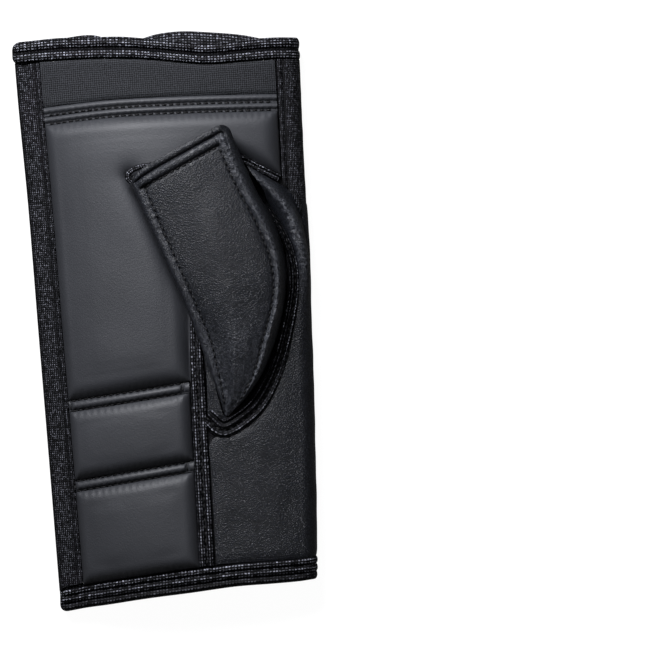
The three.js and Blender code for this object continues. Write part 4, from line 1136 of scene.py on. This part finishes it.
def stall_top():
    """The thumb stall's top. Its sections run from the free edge to the base edge through control heights:
    a seam roll, a creased valley with stitches, the dome, a second stitched groove, the rim and the side
    wall. At the mouth a hem of two rolls is added by the distance from the mouth's line, and the mouth's
    corners are rounded by turning the square of the corner into a quarter disc. Returns the piece and its
    three stitch rows."""
    share = 1 - (1 - np.linspace(0, 1, 191)) ** 1.6
    rows = strung(STALL, share)
    free_xy, base_xy, free, crown, base = rows[:, 0:2], rows[:, 2:4], rows[:, 4], rows[:, 5], rows[:, 6]
    width = np.linalg.norm(base_xy - free_xy, axis=1)
    k = np.minimum(1, width / 30)
    drop = np.clip((crown - base) / 13, 0.2, 1) * np.minimum(1, 0.25 + 0.75 * k)
    lift = np.clip((crown - free) / 5, 0.1, 1)
    seam = strung(STALL_SEAM, share) * k
    controls = np.array([
        (0 * k, free - 0.4),
        (0.3 * k, free + 1.3 * lift),
        (1.2 * k, free + 2.6 * lift),
        (2.3 * k, free + 3.1 * lift),
        (3.4 * k, free + 3.0 * lift),
        (4.2 * k, free + 2.8 * lift),
        (4.8 * k, free + 2.4 * lift),
        (5.5 * k, free + 2.9 * lift),
        (9.5 * k, free + 0.67 * (crown - free)),
        (0.45 * width, crown),
        (0.62 * width, crown - 0.2 * drop),
        (width - seam - 3.8 * k, crown - 1.0 * drop),
        (width - seam - 0.8 * k, crown - 1.8 * drop),
        (width - seam, crown - 2.6 * drop),
        (width - 0.87 * seam, crown - 1.8 * drop),
        (width - 0.62 * seam, crown - 1.1 * drop),
        (width - 0.42 * seam, crown - 2.3 * drop),
        (width - 0.27 * seam, crown - 4.8 * drop),
        (width - 0.1 * seam, (crown + base) / 2 - 1.8 * drop),
        (width, base),
    ])
    section = strung(controls, np.linspace(0, 1, STALL_STEPS + 1))
    across = (section[:, 0] / width).T[..., None]
    rise = section[:, 1].T
    step = (base_xy - free_xy) / width[:, None]
    spot = between(free_xy[:, None], base_xy[:, None], across)
    x, y = spot[..., 0], spot[..., 1]
    from_mouth = into_stall(x, y)
    from_free, from_base = across[..., 0] * width[:, None], (1 - across[..., 0]) * width[:, None]
    for radius, sideways, toward in ((MOUTH_BASE_ROUND, from_base, -1), (MOUTH_FREE_ROUND, from_free, 1)):
        inward, sidewards, _ = cornered(from_mouth, sideways, radius)
        x = x + inward * MOUTH_IN[0] + toward * sidewards * step[:, None, 0]
        y = y + inward * MOUTH_IN[1] + toward * sidewards * step[:, None, 1]
    set_back = 1.5 * bell(from_free, 6) * np.clip(1 - from_mouth / 7, 0, 1)
    x, y = x + set_back * MOUTH_IN[0], y + set_back * MOUTH_IN[1]
    near_rim = np.minimum(from_mouth, from_base) < MOUTH_BASE_ROUND
    from_rim = np.where(near_rim, cornered(from_mouth, from_base, MOUTH_BASE_ROUND)[2], from_mouth)
    first_roll = rolled(from_rim, (-0.3, 2.8, 0.9)) - 0.5 * bell(from_rim - 2.95, 0.35)
    first_roll = first_roll * (1 - smoothstep(from_mouth, 6, 13))
    second_roll = rolled(from_mouth, (3.1, 6.9, 1.1)) - 0.7 * bell(from_mouth - HEM_SEAM, 0.55)
    second_roll = second_roll * smoothstep(from_base, 5.2, 6.8) * smoothstep(from_free, 1.6, 3.6)
    knot = 0.8 * bell(np.hypot(from_mouth - 5.4, from_base - 4.4), 1.9)
    filled = 1.3 * bell(from_free - 5.0, 1.5) * (1 - smoothstep(from_mouth, 6, 8))
    hem = first_roll * smoothstep(from_free, 0.4, 2.4) + second_roll + knot + filled
    lived_in = 0.2 * ripple(x, y, 18, 41) + 0.03 * ripple(x, y, 5, 43)
    valley = 0.26 * ripple(x, y, 2.4, 45) * bell(from_free - 4.2, 1.4) * smoothstep(from_mouth, 6, 9)
    rim = bell(from_base - 0.62 * seam[:, None], 2.4)
    crinkle = ripple(x, y, 3.4, 47) + 0.7 * ripple(x, y, 1.7, 48)
    crinkled = (0.14 + 0.08 * smoothstep(26 - y, 0, 20) + 0.16 * bell(from_mouth - 9, 3)) * crinkle * rim
    rise = rise + hem + (lived_in + crinkled + valley) * smoothstep(np.minimum(from_free, from_base), 0, 2)
    outer = over_palm(x, y, rise)
    # Painted highlight: lighter colour painted along the rim's crest, beside the free edge, on the hem's
    # rolls, on the knot at the corner and towards the low end.
    painted_highlight = 0.65 * bell(from_base - 0.6 * seam[:, None], 1.9) + 0.35 * bell(from_free - 2.6, 1.6)
    hem_highlight = 0.3 * bell(from_rim - 1.1, 0.6) + 0.4 * bell(from_mouth - 4.6, 0.9)
    hem_highlight = hem_highlight * smoothstep(from_base, 3, 6)
    low_end_highlight = 0.4 * smoothstep(12 - y, 0, 30)
    painted_highlight = np.clip(painted_highlight * smoothstep(from_mouth, 3, 7) + hem_highlight + 0.6 * knot + low_end_highlight, 0, 1)
    centre = (free_xy + base_xy) / 2
    pulled = 0.07 * (centre[:, None] - np.stack((x, y), axis=-1))
    lining = np.maximum(rise - LEATHER, np.minimum(free, base)[:, None] - 0.5)
    inner = over_palm(x + pulled[..., 0], y + pulled[..., 1], np.minimum(lining, rise - 0.15))
    piece = shell("stall_top_leather", outer, inner, pebbled_leather(), cloth=with_painted_highlight(x, y, painted_highlight))
    inboard = from_mouth > HEM_SEAM - 0.2
    sides = [outer[8:, at][inboard[8:, at]] for at in (STALL_LEFT_ROW, STALL_RIGHT_ROW)]
    nearest = np.abs(from_mouth - HEM_SEAM).argmin(axis=0)
    head = outer[nearest, np.arange(STALL_STEPS + 1)][STALL_LEFT_ROW + 3 : STALL_RIGHT_ROW]
    return piece, [row + (0, 0, 0.55) for row in (*sides, head)]


def stall_under():
    """The stall's under panel: straight rungs between its two sides, whose rise runs from each side's
    height to the middle's by the square of the share that is left."""
    rows = strung(STALL_UNDER, np.linspace(0, 1, 131))[:, None]
    across = np.linspace(0, 1, 61)[None, :]
    x, y = between(rows[..., 0], rows[..., 2], across), between(rows[..., 1], rows[..., 3], across)
    from_left = (1 - np.clip(across / 0.16, 0, 1)) ** 2
    from_right = (1 - np.clip((1 - across) / 0.18, 0, 1)) ** 2
    at_left, middle, at_right = rows[..., 4], rows[..., 5], rows[..., 6]
    rise = middle + (at_left - middle) * from_left + (at_right - middle) * from_right
    rise = rise + 0.15 * ripple(x, y, 12, 51)
    from_mouth = into_stall(x, y)
    to_right = (1 - across) * np.hypot(rows[..., 2] - rows[..., 0], rows[..., 3] - rows[..., 1])
    inward, sidewards, _ = cornered(from_mouth, to_right, 8.0)
    inward = inward + 1.8 * across * np.clip(1 - from_mouth / 9, 0, 1)
    x = x + inward * MOUTH_IN[0] + sidewards * MOUTH_IN[1]
    y = y + inward * MOUTH_IN[1] - sidewards * MOUTH_IN[0]
    return shell("stall_under_leather", over_palm(x, y, rise + LEATHER), over_palm(x, y, rise),
                 pebbled_leather())


def mouth_tape():
    """The woven tape that binds the under panel at the stall's mouth: an upright oval section along the
    edge."""
    spine, at = evenly(MOUTH_TAPE, 0.5)
    side = beside(spine)[:, None]
    share = np.linspace(0, 1, 15)[None, :]
    off = (share - 0.5) * 2.2
    spot = spine[:, None, :2] + side * off[..., None]
    high = 1.1 * np.sqrt(1 - np.abs(2 * share - 1) ** 2.4) + 0.1
    outer = over_palm(spot[..., 0], spot[..., 1], spine[:, None, 2] + high)
    inner = over_palm(spot[..., 0], spot[..., 1], spine[:, None, 2] - high)
    cloth = woven(off, at[:, None], high, 1.3, 0.9)
    return shell("stall_mouth_tape", outer, inner, woven_tape(), cloth=cloth)


class GLOVE_OT_thumb_stall(bpy.types.Operator):
    """Makes the thumb stall with its hem, its mouth tape and its stitches"""

    bl_idname = "glove.thumb_stall"
    bl_label = "Thumb stall"

    def execute(self, context):
        top, rows = stall_top()
        belongs(top, "grained_leather", "thumb_stall_top")
        belongs(stall_under(), "grained_leather", "thumb_stall_under")
        belongs(mouth_tape(), "woven_tape")
        sewn("stall_stitches", rows)
        return {"FINISHED"}


def pinky_tape():
    """The tape over the pinky edge: round at the edge as a quarter of an oval, level inside it, with a
    narrow second roll along its inner edge; the same on both faces."""
    share, up = shares(36, 260)
    share = share**1.3
    near = -105 + 209 * up
    off = share * PINKY_TAPE
    x = pinky_edge(near) + off - (0.6 + 0.35 * smoothstep(near, 40, 90)) * (1 - share)
    low, high = np.maximum(palm_foot(x), back_foot(x)), np.minimum(palm_head(x), back_head(x))
    reach = 1.9 * (1 - share) ** 6
    y = low - reach + (high - low + 2 * reach) * up
    top = palm_height(x, y)
    full = np.maximum(quarter(share / 0.3), 0.12)
    relief = rolled(off, (0.8, 7.3, 0.45), (7.7, 9.35, 0.9)) + 0.06 * ripple(x, y, 9, 61)
    upper = top / 2 * (1 + full) + relief
    lower = np.maximum(top / 2 * (1 - full) + BACK_LEVEL - relief, 0)
    cloth = woven(off, y, np.minimum(relief, 0.4), SIDE_WEAVE, SIDE_GLINT)
    return shell("pinky_tape_woven", spots(x, y, upper), spots(x, y, np.minimum(lower, upper - 0.3)),
                 woven_tape(), cloth=cloth)


def thumb_edge_tape():
    """The tape on the upper thumb edge follows the skin from the palm round the fold: a narrow roll along
    its inner edge, a groove, and a wide strip that is slightly crowned."""
    across, up = shares(60, 130)
    off = (FOLD_EDGE - EDGE_TAPE_END[0, 0]) * across
    along = EDGE_TAPE_END[0, 0] + off
    low = through(EDGE_TAPE_END, 0, 1)(along)
    y = between(low, palm_head(skin(along, 80, 0)[..., 0]), up)
    rise = rolled(off, (0, 1.9, 0.9), (2.3, 17.8, 0.5)) + 0.06 * ripple(along, y, 9, 63)
    cloth = woven(off, y, np.minimum(rise, 0.4), SIDE_WEAVE, SIDE_GLINT)
    hemmed = 0.6 * (1 - smoothstep(y, 46, 52)) * smoothstep(y - low, -0.5, 1.2)
    rise = rise + hemmed * (1 - smoothstep(along, 3, 8))
    rise = rise * (1 - smoothstep(along, 3, 7) * (1 - smoothstep(y - low, 0, 14)))
    return shell("thumb_edge_tape_woven", skin(along, y, rise), skin(along, y, -LEATHER), woven_tape(),
                 cloth=cloth)


def palm_end_tape(name, end, inward, rolls, outset, seed):
    """The tape round the palm's end. From the end inwards its outer face rises as a quarter of an oval and
    then follows its rolls; the inner face mirrors the oval. At the pinky corner both close in round the
    fin's split."""
    columns = np.linspace(0, 1, 221)[None, :]
    off = END_TAPE * np.linspace(0, 1, 33)[:, None] ** 1.25
    near = end(np.array(0.0))
    along = over_fold(pinky_edge(near) - fold_start(near), 0.97 * FOLD_LENGTH, 0.74, columns)
    seen = skin(along, near, 0)[..., 0]
    wave = 0.25 * ripple(along, 0 * along, 22, seed)
    y = end(seen) + inward * (off + (wave - outset) * (1 - off / END_TAPE))
    thick = between(END_THICK, FLAP, smoothstep(along, 2, 11))
    full = quarter(off / END_ROUND)
    wrinkled = 0.12 * ripple(along, off, 9, seed + 1) - 0.25 * smoothstep(off, 8.0, 8.6)
    crown = (rolled(off, *rolls, floor=-0.6) + wrinkled) * (1 - 0.7 * smoothstep(along, 1, 7))
    outer = skin(along, y, -thick / 2 + (thick / 2 + crown) * full)
    inner = skin(along, y, -thick / 2 - 0.1 - (thick / 2 - 0.1) * full)
    edge = along - along[:, :1]
    corner = quarter(edge / 2.4)
    wider = 1.5 if inward < 0 else 0.6
    bulge = 0.4 * bell(along - 9, 5) - wider * bell(edge, 6)
    drawn_in, pulled_in, _ = cornered(off, edge, 3.2)
    lifted, rounded, _ = cornered(END_TAPE - off, edge, 2.6)
    drawn_in, pulled_in = drawn_in - lifted, pulled_in + rounded
    for face, lift in ((outer, 0.45), (inner, 0.15)):
        face[..., 0] += bulge + pulled_in
        face[..., 1] += inward * drawn_in
        pinched = FIN_SPLIT + lift + (face[..., 2] - FIN_SPLIT - lift) * corner
        face[..., 2] = np.where(along < 0, np.maximum(pinched, FIN_SPLIT + lift), face[..., 2])
    # Painted shade: at the wrist the outermost strip of the tape gets little of the painted glint.
    cloth = woven(off, along, rolled(off, *rolls, floor=-0.6) - (0.9 if inward > 0 else 0.0) * (off < 2.9))
    return shell(name, outer, inner, woven_tape(), cloth=cloth)


def back_end_tape(name, end, inward, seed):
    """The tape round the back's end: an oval at the end, two rolls on the face that lies on the floor, and
    the height that the flap and the turned-in edge give the back."""
    columns = np.linspace(0, 1, 181)[None, :]
    off = END_TAPE * np.linspace(0, 1, 29)[:, None] ** 1.25
    near = end(np.array(0.0))
    x = between(pinky_edge(near), fold_start(near) - 0.2, columns)
    y = end(x) + inward * off
    floor = back_lift(x, y)
    ceiling = LOOP_LEVEL + floor + LOOP + GAP + WALL + 0.3
    fin = smoothstep(x, pinky_inner(near), pinky_inner(near) + 8)
    ceiling = np.minimum(ceiling, FIN_SPLIT - GAP / 2 + (ceiling - FIN_SPLIT + GAP / 2) * fin)
    full = quarter(off / END_ROUND)
    edge = x - pinky_edge(near)
    corner = quarter(edge / 2.4)
    middle = (floor + ceiling) / 2
    crown = 0.5 - rolled(off, (0, 4.6, 0.5), (5.1, 8.6, 0.45)) + 0.05 * ripple(x, off, 8, seed)
    lower = middle - (middle - floor - crown) * full
    lower = np.maximum(ceiling - 0.2 - (ceiling - 0.2 - lower) * np.maximum(corner, 0.3), 0)
    upper = middle + 0.1 + (ceiling - middle - 0.1) * full
    x = x - 0.6 * bell(edge, 5) + 0 * off
    return shell(name, spots(x, y, lower), spots(x, y, upper), woven_tape(), cloth=woven(off, x, -crown))


class GLOVE_OT_edge_tapes(bpy.types.Operator):
    """Makes the woven tapes round the glove's ends and down its two sides"""

    bl_idname = "glove.edge_tapes"
    bl_label = "Edge tapes"

    def execute(self, context):
        belongs(pinky_tape(), "woven_tape", "pinky_binding")
        belongs(thumb_edge_tape(), "woven_tape", "thumb_edge_binding")
        palm_ends = (
            ("palm_finger", palm_fingers, -1, [(0, 4.3, 1.0), (5.1, 8.7, 1.0)], 0.1, 71),
            ("palm_wrist", palm_wrist, 1, [(0, 2.9, 0.4), (3.1, 5.7, 0.95), (6.0, 8.7, 0.95)], 0.7, 75),
        )
        for name, *shape in palm_ends:
            belongs(palm_end_tape(name + "_tape_woven", *shape), "woven_tape", name + "_binding")
        for name, *shape in (("back_finger", back_fingers, -1, 77), ("back_wrist", back_wrist, 1, 79)):
            belongs(back_end_tape(name + "_tape_woven", *shape), "woven_tape", name + "_binding")
        return {"FINISHED"}


def tape_piece(name, faces, node):
    """A woven tape from the faces and cloth columns that ribbon returns. It stands for a node."""
    outer, under, cloth = faces
    return belongs(shell(name, outer, under, woven_tape(), cloth=cloth), "woven_tape", node)


def two_rolls(crown):
    """The section of a folded binding: two equal rolls with a narrow groove between them."""
    return lambda share: rolled(share, (0.0, 0.46, crown), (0.54, 1.0, crown), floor=-0.4)


def opening_rolls(share):
    """The section of the binding round the thumb's opening: a thin, high edge towards the thumb and two
    rolls."""
    return rolled(share, (0.0, 0.2, 1.9), (0.23, 0.58, 1.3), (0.66, 1.0, 1.5), floor=-0.3)


def opening_glint(share):
    """Painted highlight: the tape is painted brightest along its two edges."""
    return 0.3 + 1.2 * bell(share - 0.1, 0.1) + 0.8 * bell(share - 0.85, 0.1)


class GLOVE_OT_seam_tapes(bpy.types.Operator):
    """Makes the tape up the palm's seam and the binding round the thumb's opening"""

    bl_idname = "glove.seam_tapes"
    bl_label = "Seam tapes"

    def execute(self, context):
        seam = ribbon(unrolled(SEAM_TAPE, along_palm), 0.6, 26, -LEATHER, two_rolls(1.5))
        tape_piece("seam_tape_woven", seam, "seam_tape")
        bound = ribbon(unrolled(THUMB_TAPE, along_palm), 0.5, 28, -LEATHER, opening_rolls, 1.3,
                       opening_glint)
        tape_piece("opening_tape_woven", bound, "thumb_binding")
        sewn("palm_tape_stitches", [seam[0][:, 13] + (0, 0, 0.45), bound[0][:, 17] + (0, 0, 0.45)])
        return {"FINISHED"}


def flap_cloth():
    """The closure flap's cloth follows the skin round the fold and under the back, inside the outline that
    its binding gives, with a slow unevenness."""
    path = unrolled(FLAP_TAPE_PATH, along_back)
    spine = strung(path, np.linspace(FLAP_FIRST, FLAP_LAST, 160) / (len(path) - 1))
    root = [(11, -27.2), (11, 40), (FOLD_LENGTH, 46.2)]
    cut = np.concatenate((spine, [(FOLD_LENGTH, -26.4)], root))
    along, y = np.meshgrid(np.linspace(FOLD_SEAM, FOLD_LENGTH + 52, 181), np.linspace(-40, 56, 191))
    rise = 0.06 * ripple(along, y, 11, 81) - 0.15
    return shell("flap_cloth", skin(along, y, rise), skin(along, y, -FLAP), nylon_cloth(),
                 cells_inside(along, y, cut))


def flap_patch():
    """The blank patch: a flat plate whose corners and rim are rounded by the distance from its edge, with a
    shallow sewn groove inside the rim. Returns the piece and the row of its stitches."""
    across, up = np.meshgrid(np.linspace(-1, 1, 121), np.linspace(-1, 1, 91))
    half = np.array(PATCH_SIZE) / 2
    inset = PATCH_ROUND * np.abs(across) ** 14 * np.abs(up) ** 14
    share = np.stack((across, up), axis=-1)
    flat = share * half - np.sign(share) * inset[..., None]
    edge = np.minimum(half[0] * (1 - np.abs(across)), half[1] * (1 - np.abs(up)))
    rim = 0.45 * (1 - np.clip(edge / PATCH_ROUND, 0, 1)) ** 2
    low = rim + 0.28 * bell(edge - PATCH_SEAM, 0.45) + 0.02
    angle = math.radians(PATCH_TURN)
    turn = np.array([(math.cos(angle), math.sin(angle)), (-math.sin(angle), math.cos(angle))])
    x, y = np.moveaxis(flat @ turn + PATCH_MIDDLE, -1, 0)
    piece = shell("flap_patch_plate", spots(x, y, low), spots(x, y, PATCH), patch_leather())
    corners = np.array([(-1, -1), (1, -1), (1, 1), (-1, 1), (-1, -1)]) * (half - PATCH_SEAM)
    row = np.concatenate([np.linspace(a, b, 60) for a, b in zip(corners, corners[1:])])
    return piece, np.column_stack((row @ turn + PATCH_MIDDLE, np.full(len(row), 0.3)))


class GLOVE_OT_closure(bpy.types.Operator):
    """Makes the closure flap, its binding and the blank patch on it"""

    bl_idname = "glove.closure"
    bl_label = "Closure flap"

    def execute(self, context):
        piece = belongs(flap_cloth(), "twill_cloth", "closure_flap")
        path = np.column_stack((FLAP_TAPE_PATH, np.full(len(FLAP_TAPE_PATH), FLAP_TAPE)))
        bound = ribbon(unrolled(path, along_back), 0.6, 24, -FLAP, two_rolls(0.8))
        tape_piece("flap_tape_woven", bound, "flap_binding")
        patch, row = flap_patch()
        belongs(patch, "patch_leather", "flap_patch")
        sewn("closure_stitches", [row, bound[0][:, 12] - (0, 0, 0.2)], facing=-1)
        return {"FINISHED"}


class GLOVE_OT_back(bpy.types.Operator):
    """Makes the loop panels and the smooth pad on the back"""

    bl_idname = "glove.back"
    bl_label = "Back panels"

    def execute(self, context):
        panels = (
            ("loop_panel_pinky", lambda y: pinky_inner(y) + 0.4, steady(-2.5), through(PANEL_CORNER, 0, 1),
             91, (0.0435, 0.136)),
            ("loop_panel_thumb", steady(-2.2), back_edge, steady(PANEL_FOOT), 93, (0.053, 0.136)),
        )
        for name, left, right, low, seed, cut in panels:
            x, y = field(left, right, low, back_head, 80, 190)
            edge = np.min((x - left(y), right(y) - x, y - low(x), back_head(x) - y), axis=0)
            outer = 0.35 * (1 - np.clip(edge / 1.2, 0, 1)) ** 2 + 0.08 * ripple(x, y, 3, seed)
            piece = shell(name.replace("panel", "pile"), over_back(x, y, outer), over_back(x, y, LOOP),
                          loop_pile())
            belongs(piece, "loop_pile", name)
        x, y = field(steady(0.6), back_edge, back_foot, steady(BACK_PAD_HEAD), 110, 150)
        seams = (x - 3.4, 46.6 - x, y - back_wrist(x) - END_TAPE)
        rise = 0.75 - plump(seams, 6.0, 0.75) + 0.05 * ripple(x, y, 20, 95)
        pad = shell("back_pad_leather", over_back(x, y, np.maximum(rise, 0)), over_back(x, y, LOOP),
                    smooth_leather())
        belongs(pad, "smooth_leather", "back_pad")
        rows = []
        for at in (2.6, 47.4):
            down = np.linspace(-33, float(back_wrist(at)) + END_TAPE + 1, 140)
            rows.append(over_back(at + 0 * down, down, 0.6))
        sewn("back_stitches", rows, facing=-1)
        return {"FINISHED"}


class GLOVE_OT_palm_stitches(bpy.types.Operator):
    """Sews the rows that cross the palm"""

    bl_idname = "glove.palm_stitches"
    bl_label = "Palm stitches"

    def execute(self, context):
        rows = []
        wide, narrow = np.linspace(-45.5, 47, 400), np.linspace(-43.2, 3.0, 240)
        for row, off in ((finger_tuck, -1.5), (pad_tuck, -1.35)):
            rows.append(over_palm(wide, row(wide) + off, 0.1))
        for row in (heel_tuck, wrist_tuck):
            rows += [over_palm(narrow, row(narrow) + off, 0.42) for off in (-2.1, 2.05)]
            down = np.linspace(-1.9, 1.9, 20)
            rows += [over_palm(at + 0 * down, row(at) + down, 0.5) for at in TIES]
        sewn("palm_stitches", rows)
        return {"FINISHED"}


# The studio, in metres: each lamp's name, place, side and power in watts, aimed at the floor's middle.
LAMPS = (
    ("overhead_softbox", (0.05, 0.1, 2.6), 1.4, 5.3),
    ("finger_side_softbox", (-0.16, 0.42, 0.45), 0.32, 13.2),
)
LAMP_COLOUR = (0.98, 0.99, 1.04)
AIR_LIGHT = 0.12
CAMERA_PLACE = (0.0615, -0.0066, 1.836)
CAMERA_TURN = -3.3
CAMERA_LENS = 250


class GLOVE_OT_stage(bpy.types.Operator):
    """Lays the white paper, sets the lights and points the camera straight down"""

    bl_idname = "glove.stage"
    bl_label = "Studio"

    def execute(self, context):
        scene = context.scene
        side = np.linspace(-2500, 2500, 9)
        x, y = np.meshgrid(side, side)
        paper = shell("background_paper", spots(x, y, -0.05), spots(x, y, -5), studio_paper())
        paper.visible_glossy = False
        for name, place, size, power in LAMPS:
            lamp = bpy.data.lights.new(name, "AREA")
            lamp.shape, lamp.size, lamp.energy = "SQUARE", size, power
            lamp.color = LAMP_COLOUR
            light = bpy.data.objects.new(name, lamp)
            light.location = place
            x, y, z = place
            light.rotation_euler = (math.acos(z / math.hypot(x, y, z)), 0, math.atan2(-y, -x) - math.pi / 2)
            scene.collection.objects.link(light)
        world = bpy.data.worlds.new("studio_air")
        scene.world = world
        world.use_nodes = True
        air = world.node_tree.nodes["Background"]
        feed(world.node_tree, air, {"Color": (1, 1, 1, 1), "Strength": AIR_LIGHT})
        lens = bpy.data.cameras.new("camera")
        lens.lens, lens.sensor_width, lens.clip_end = CAMERA_LENS, 36, 20
        camera = bpy.data.objects.new("camera", lens)
        camera.location = CAMERA_PLACE
        camera.rotation_euler = (0, 0, math.radians(CAMERA_TURN))
        scene.collection.objects.link(camera)
        scene.camera = camera
        scene.view_settings.view_transform = "Standard"
        return {"FINISHED"}


def length(label, about, millimetres):
    """A length that a user can change, in Blender's own unit."""
    return FloatProperty(name=label, description=about, default=millimetres * MM, min=0, unit="LENGTH",
                         precision=5)


def colour(label, about, code):
    """A colour that a user can change, given as an sRGB hex code."""
    return FloatVectorProperty(name=label, description=about, default=srgb(code), min=0, max=1,
                               subtype="COLOR")


class GloveSizes(bpy.types.PropertyGroup):
    pad_crown: length("Pad crown", "How high the padded fields stand over the palm", PAD_CROWN)
    stitch_pitch: length("Stitch pitch", "From one stitch to the next", 2.8)
    stitch_length: length("Stitch length", "How much of a stitch shows", 2.05)
    thread: length("Thread", "Thickness of the sewing thread", 0.65)
    rib_pitch: length("Rib pitch", "From one rib of the woven tape to the next", 1.27)
    crown_width: length("Crown width", "Width of one crown of thread on a rib", 1.08)


class GloveColours(bpy.types.PropertyGroup):
    smooth_leather: colour("Smooth leather", "The palm's pads, the tucks and the back's pad", "#1d1e21")
    grained_leather: colour("Grained leather", "The thumb stall and the gusset", "#101217")
    tape: colour("Tape", "The woven tape between its glints", "#060607")
    # Painted highlight: the colour painted on crowns of thread on the tape's crests.
    tape_glint: colour("Tape glint", "The crowns of thread that catch the light", "#5f6067")
    knit: colour("Knit", "The padded walls", "#111113")
    loop_pile: colour("Loop pile", "The back's loop panels", "#060607")
    nylon: colour("Nylon", "The closure flap", "#080809")
    band: colour("Band", "The cloth band below the finger end", "#161719")
    patch: colour("Patch", "The blank patch on the flap", "#141416")
    thread: colour("Thread", "The sewing thread", "#09090a")
    paper: colour("Paper", "The background", "#505050")


class GLOVE_PT_panel(bpy.types.Panel):
    """Lists the glove's sizes and colours and the steps that make it"""

    bl_idname = "GLOVE_PT_panel"
    bl_label = "Push glove"
    bl_space_type = "VIEW_3D"
    bl_region_type = "UI"
    bl_category = "Glove"

    def draw(self, context):
        for group in (context.scene.glove_sizes, context.scene.glove_colours):
            box = self.layout.box()
            for name in group.__annotations__:
                box.prop(group, name)
        for step in STEPS:
            self.layout.operator(step.bl_idname)


STEPS = (
    GLOVE_OT_walls,
    GLOVE_OT_palm_pads,
    GLOVE_OT_tucks,
    GLOVE_OT_finger_band,
    GLOVE_OT_gusset,
    GLOVE_OT_thumb_stall,
    GLOVE_OT_edge_tapes,
    GLOVE_OT_seam_tapes,
    GLOVE_OT_closure,
    GLOVE_OT_back,
    GLOVE_OT_palm_stitches,
    GLOVE_OT_stage,
)
CLASSES = (GloveSizes, GloveColours, *STEPS, GLOVE_PT_panel)


def register():
    """Adds the classes, and the sizes and colours that a scene then has."""
    for part in CLASSES:
        bpy.utils.register_class(part)
    bpy.types.Scene.glove_sizes = PointerProperty(type=GloveSizes)
    bpy.types.Scene.glove_colours = PointerProperty(type=GloveColours)


def unregister():
    """Takes away what register added."""
    del bpy.types.Scene.glove_colours
    del bpy.types.Scene.glove_sizes
    for part in reversed(CLASSES):
        bpy.utils.unregister_class(part)


def main():
    """Makes the glove and its studio."""
    register()
    for step in STEPS:
        getattr(bpy.ops.glove, step.bl_idname.split(".")[1])()


if __name__ == "__main__":
    main()
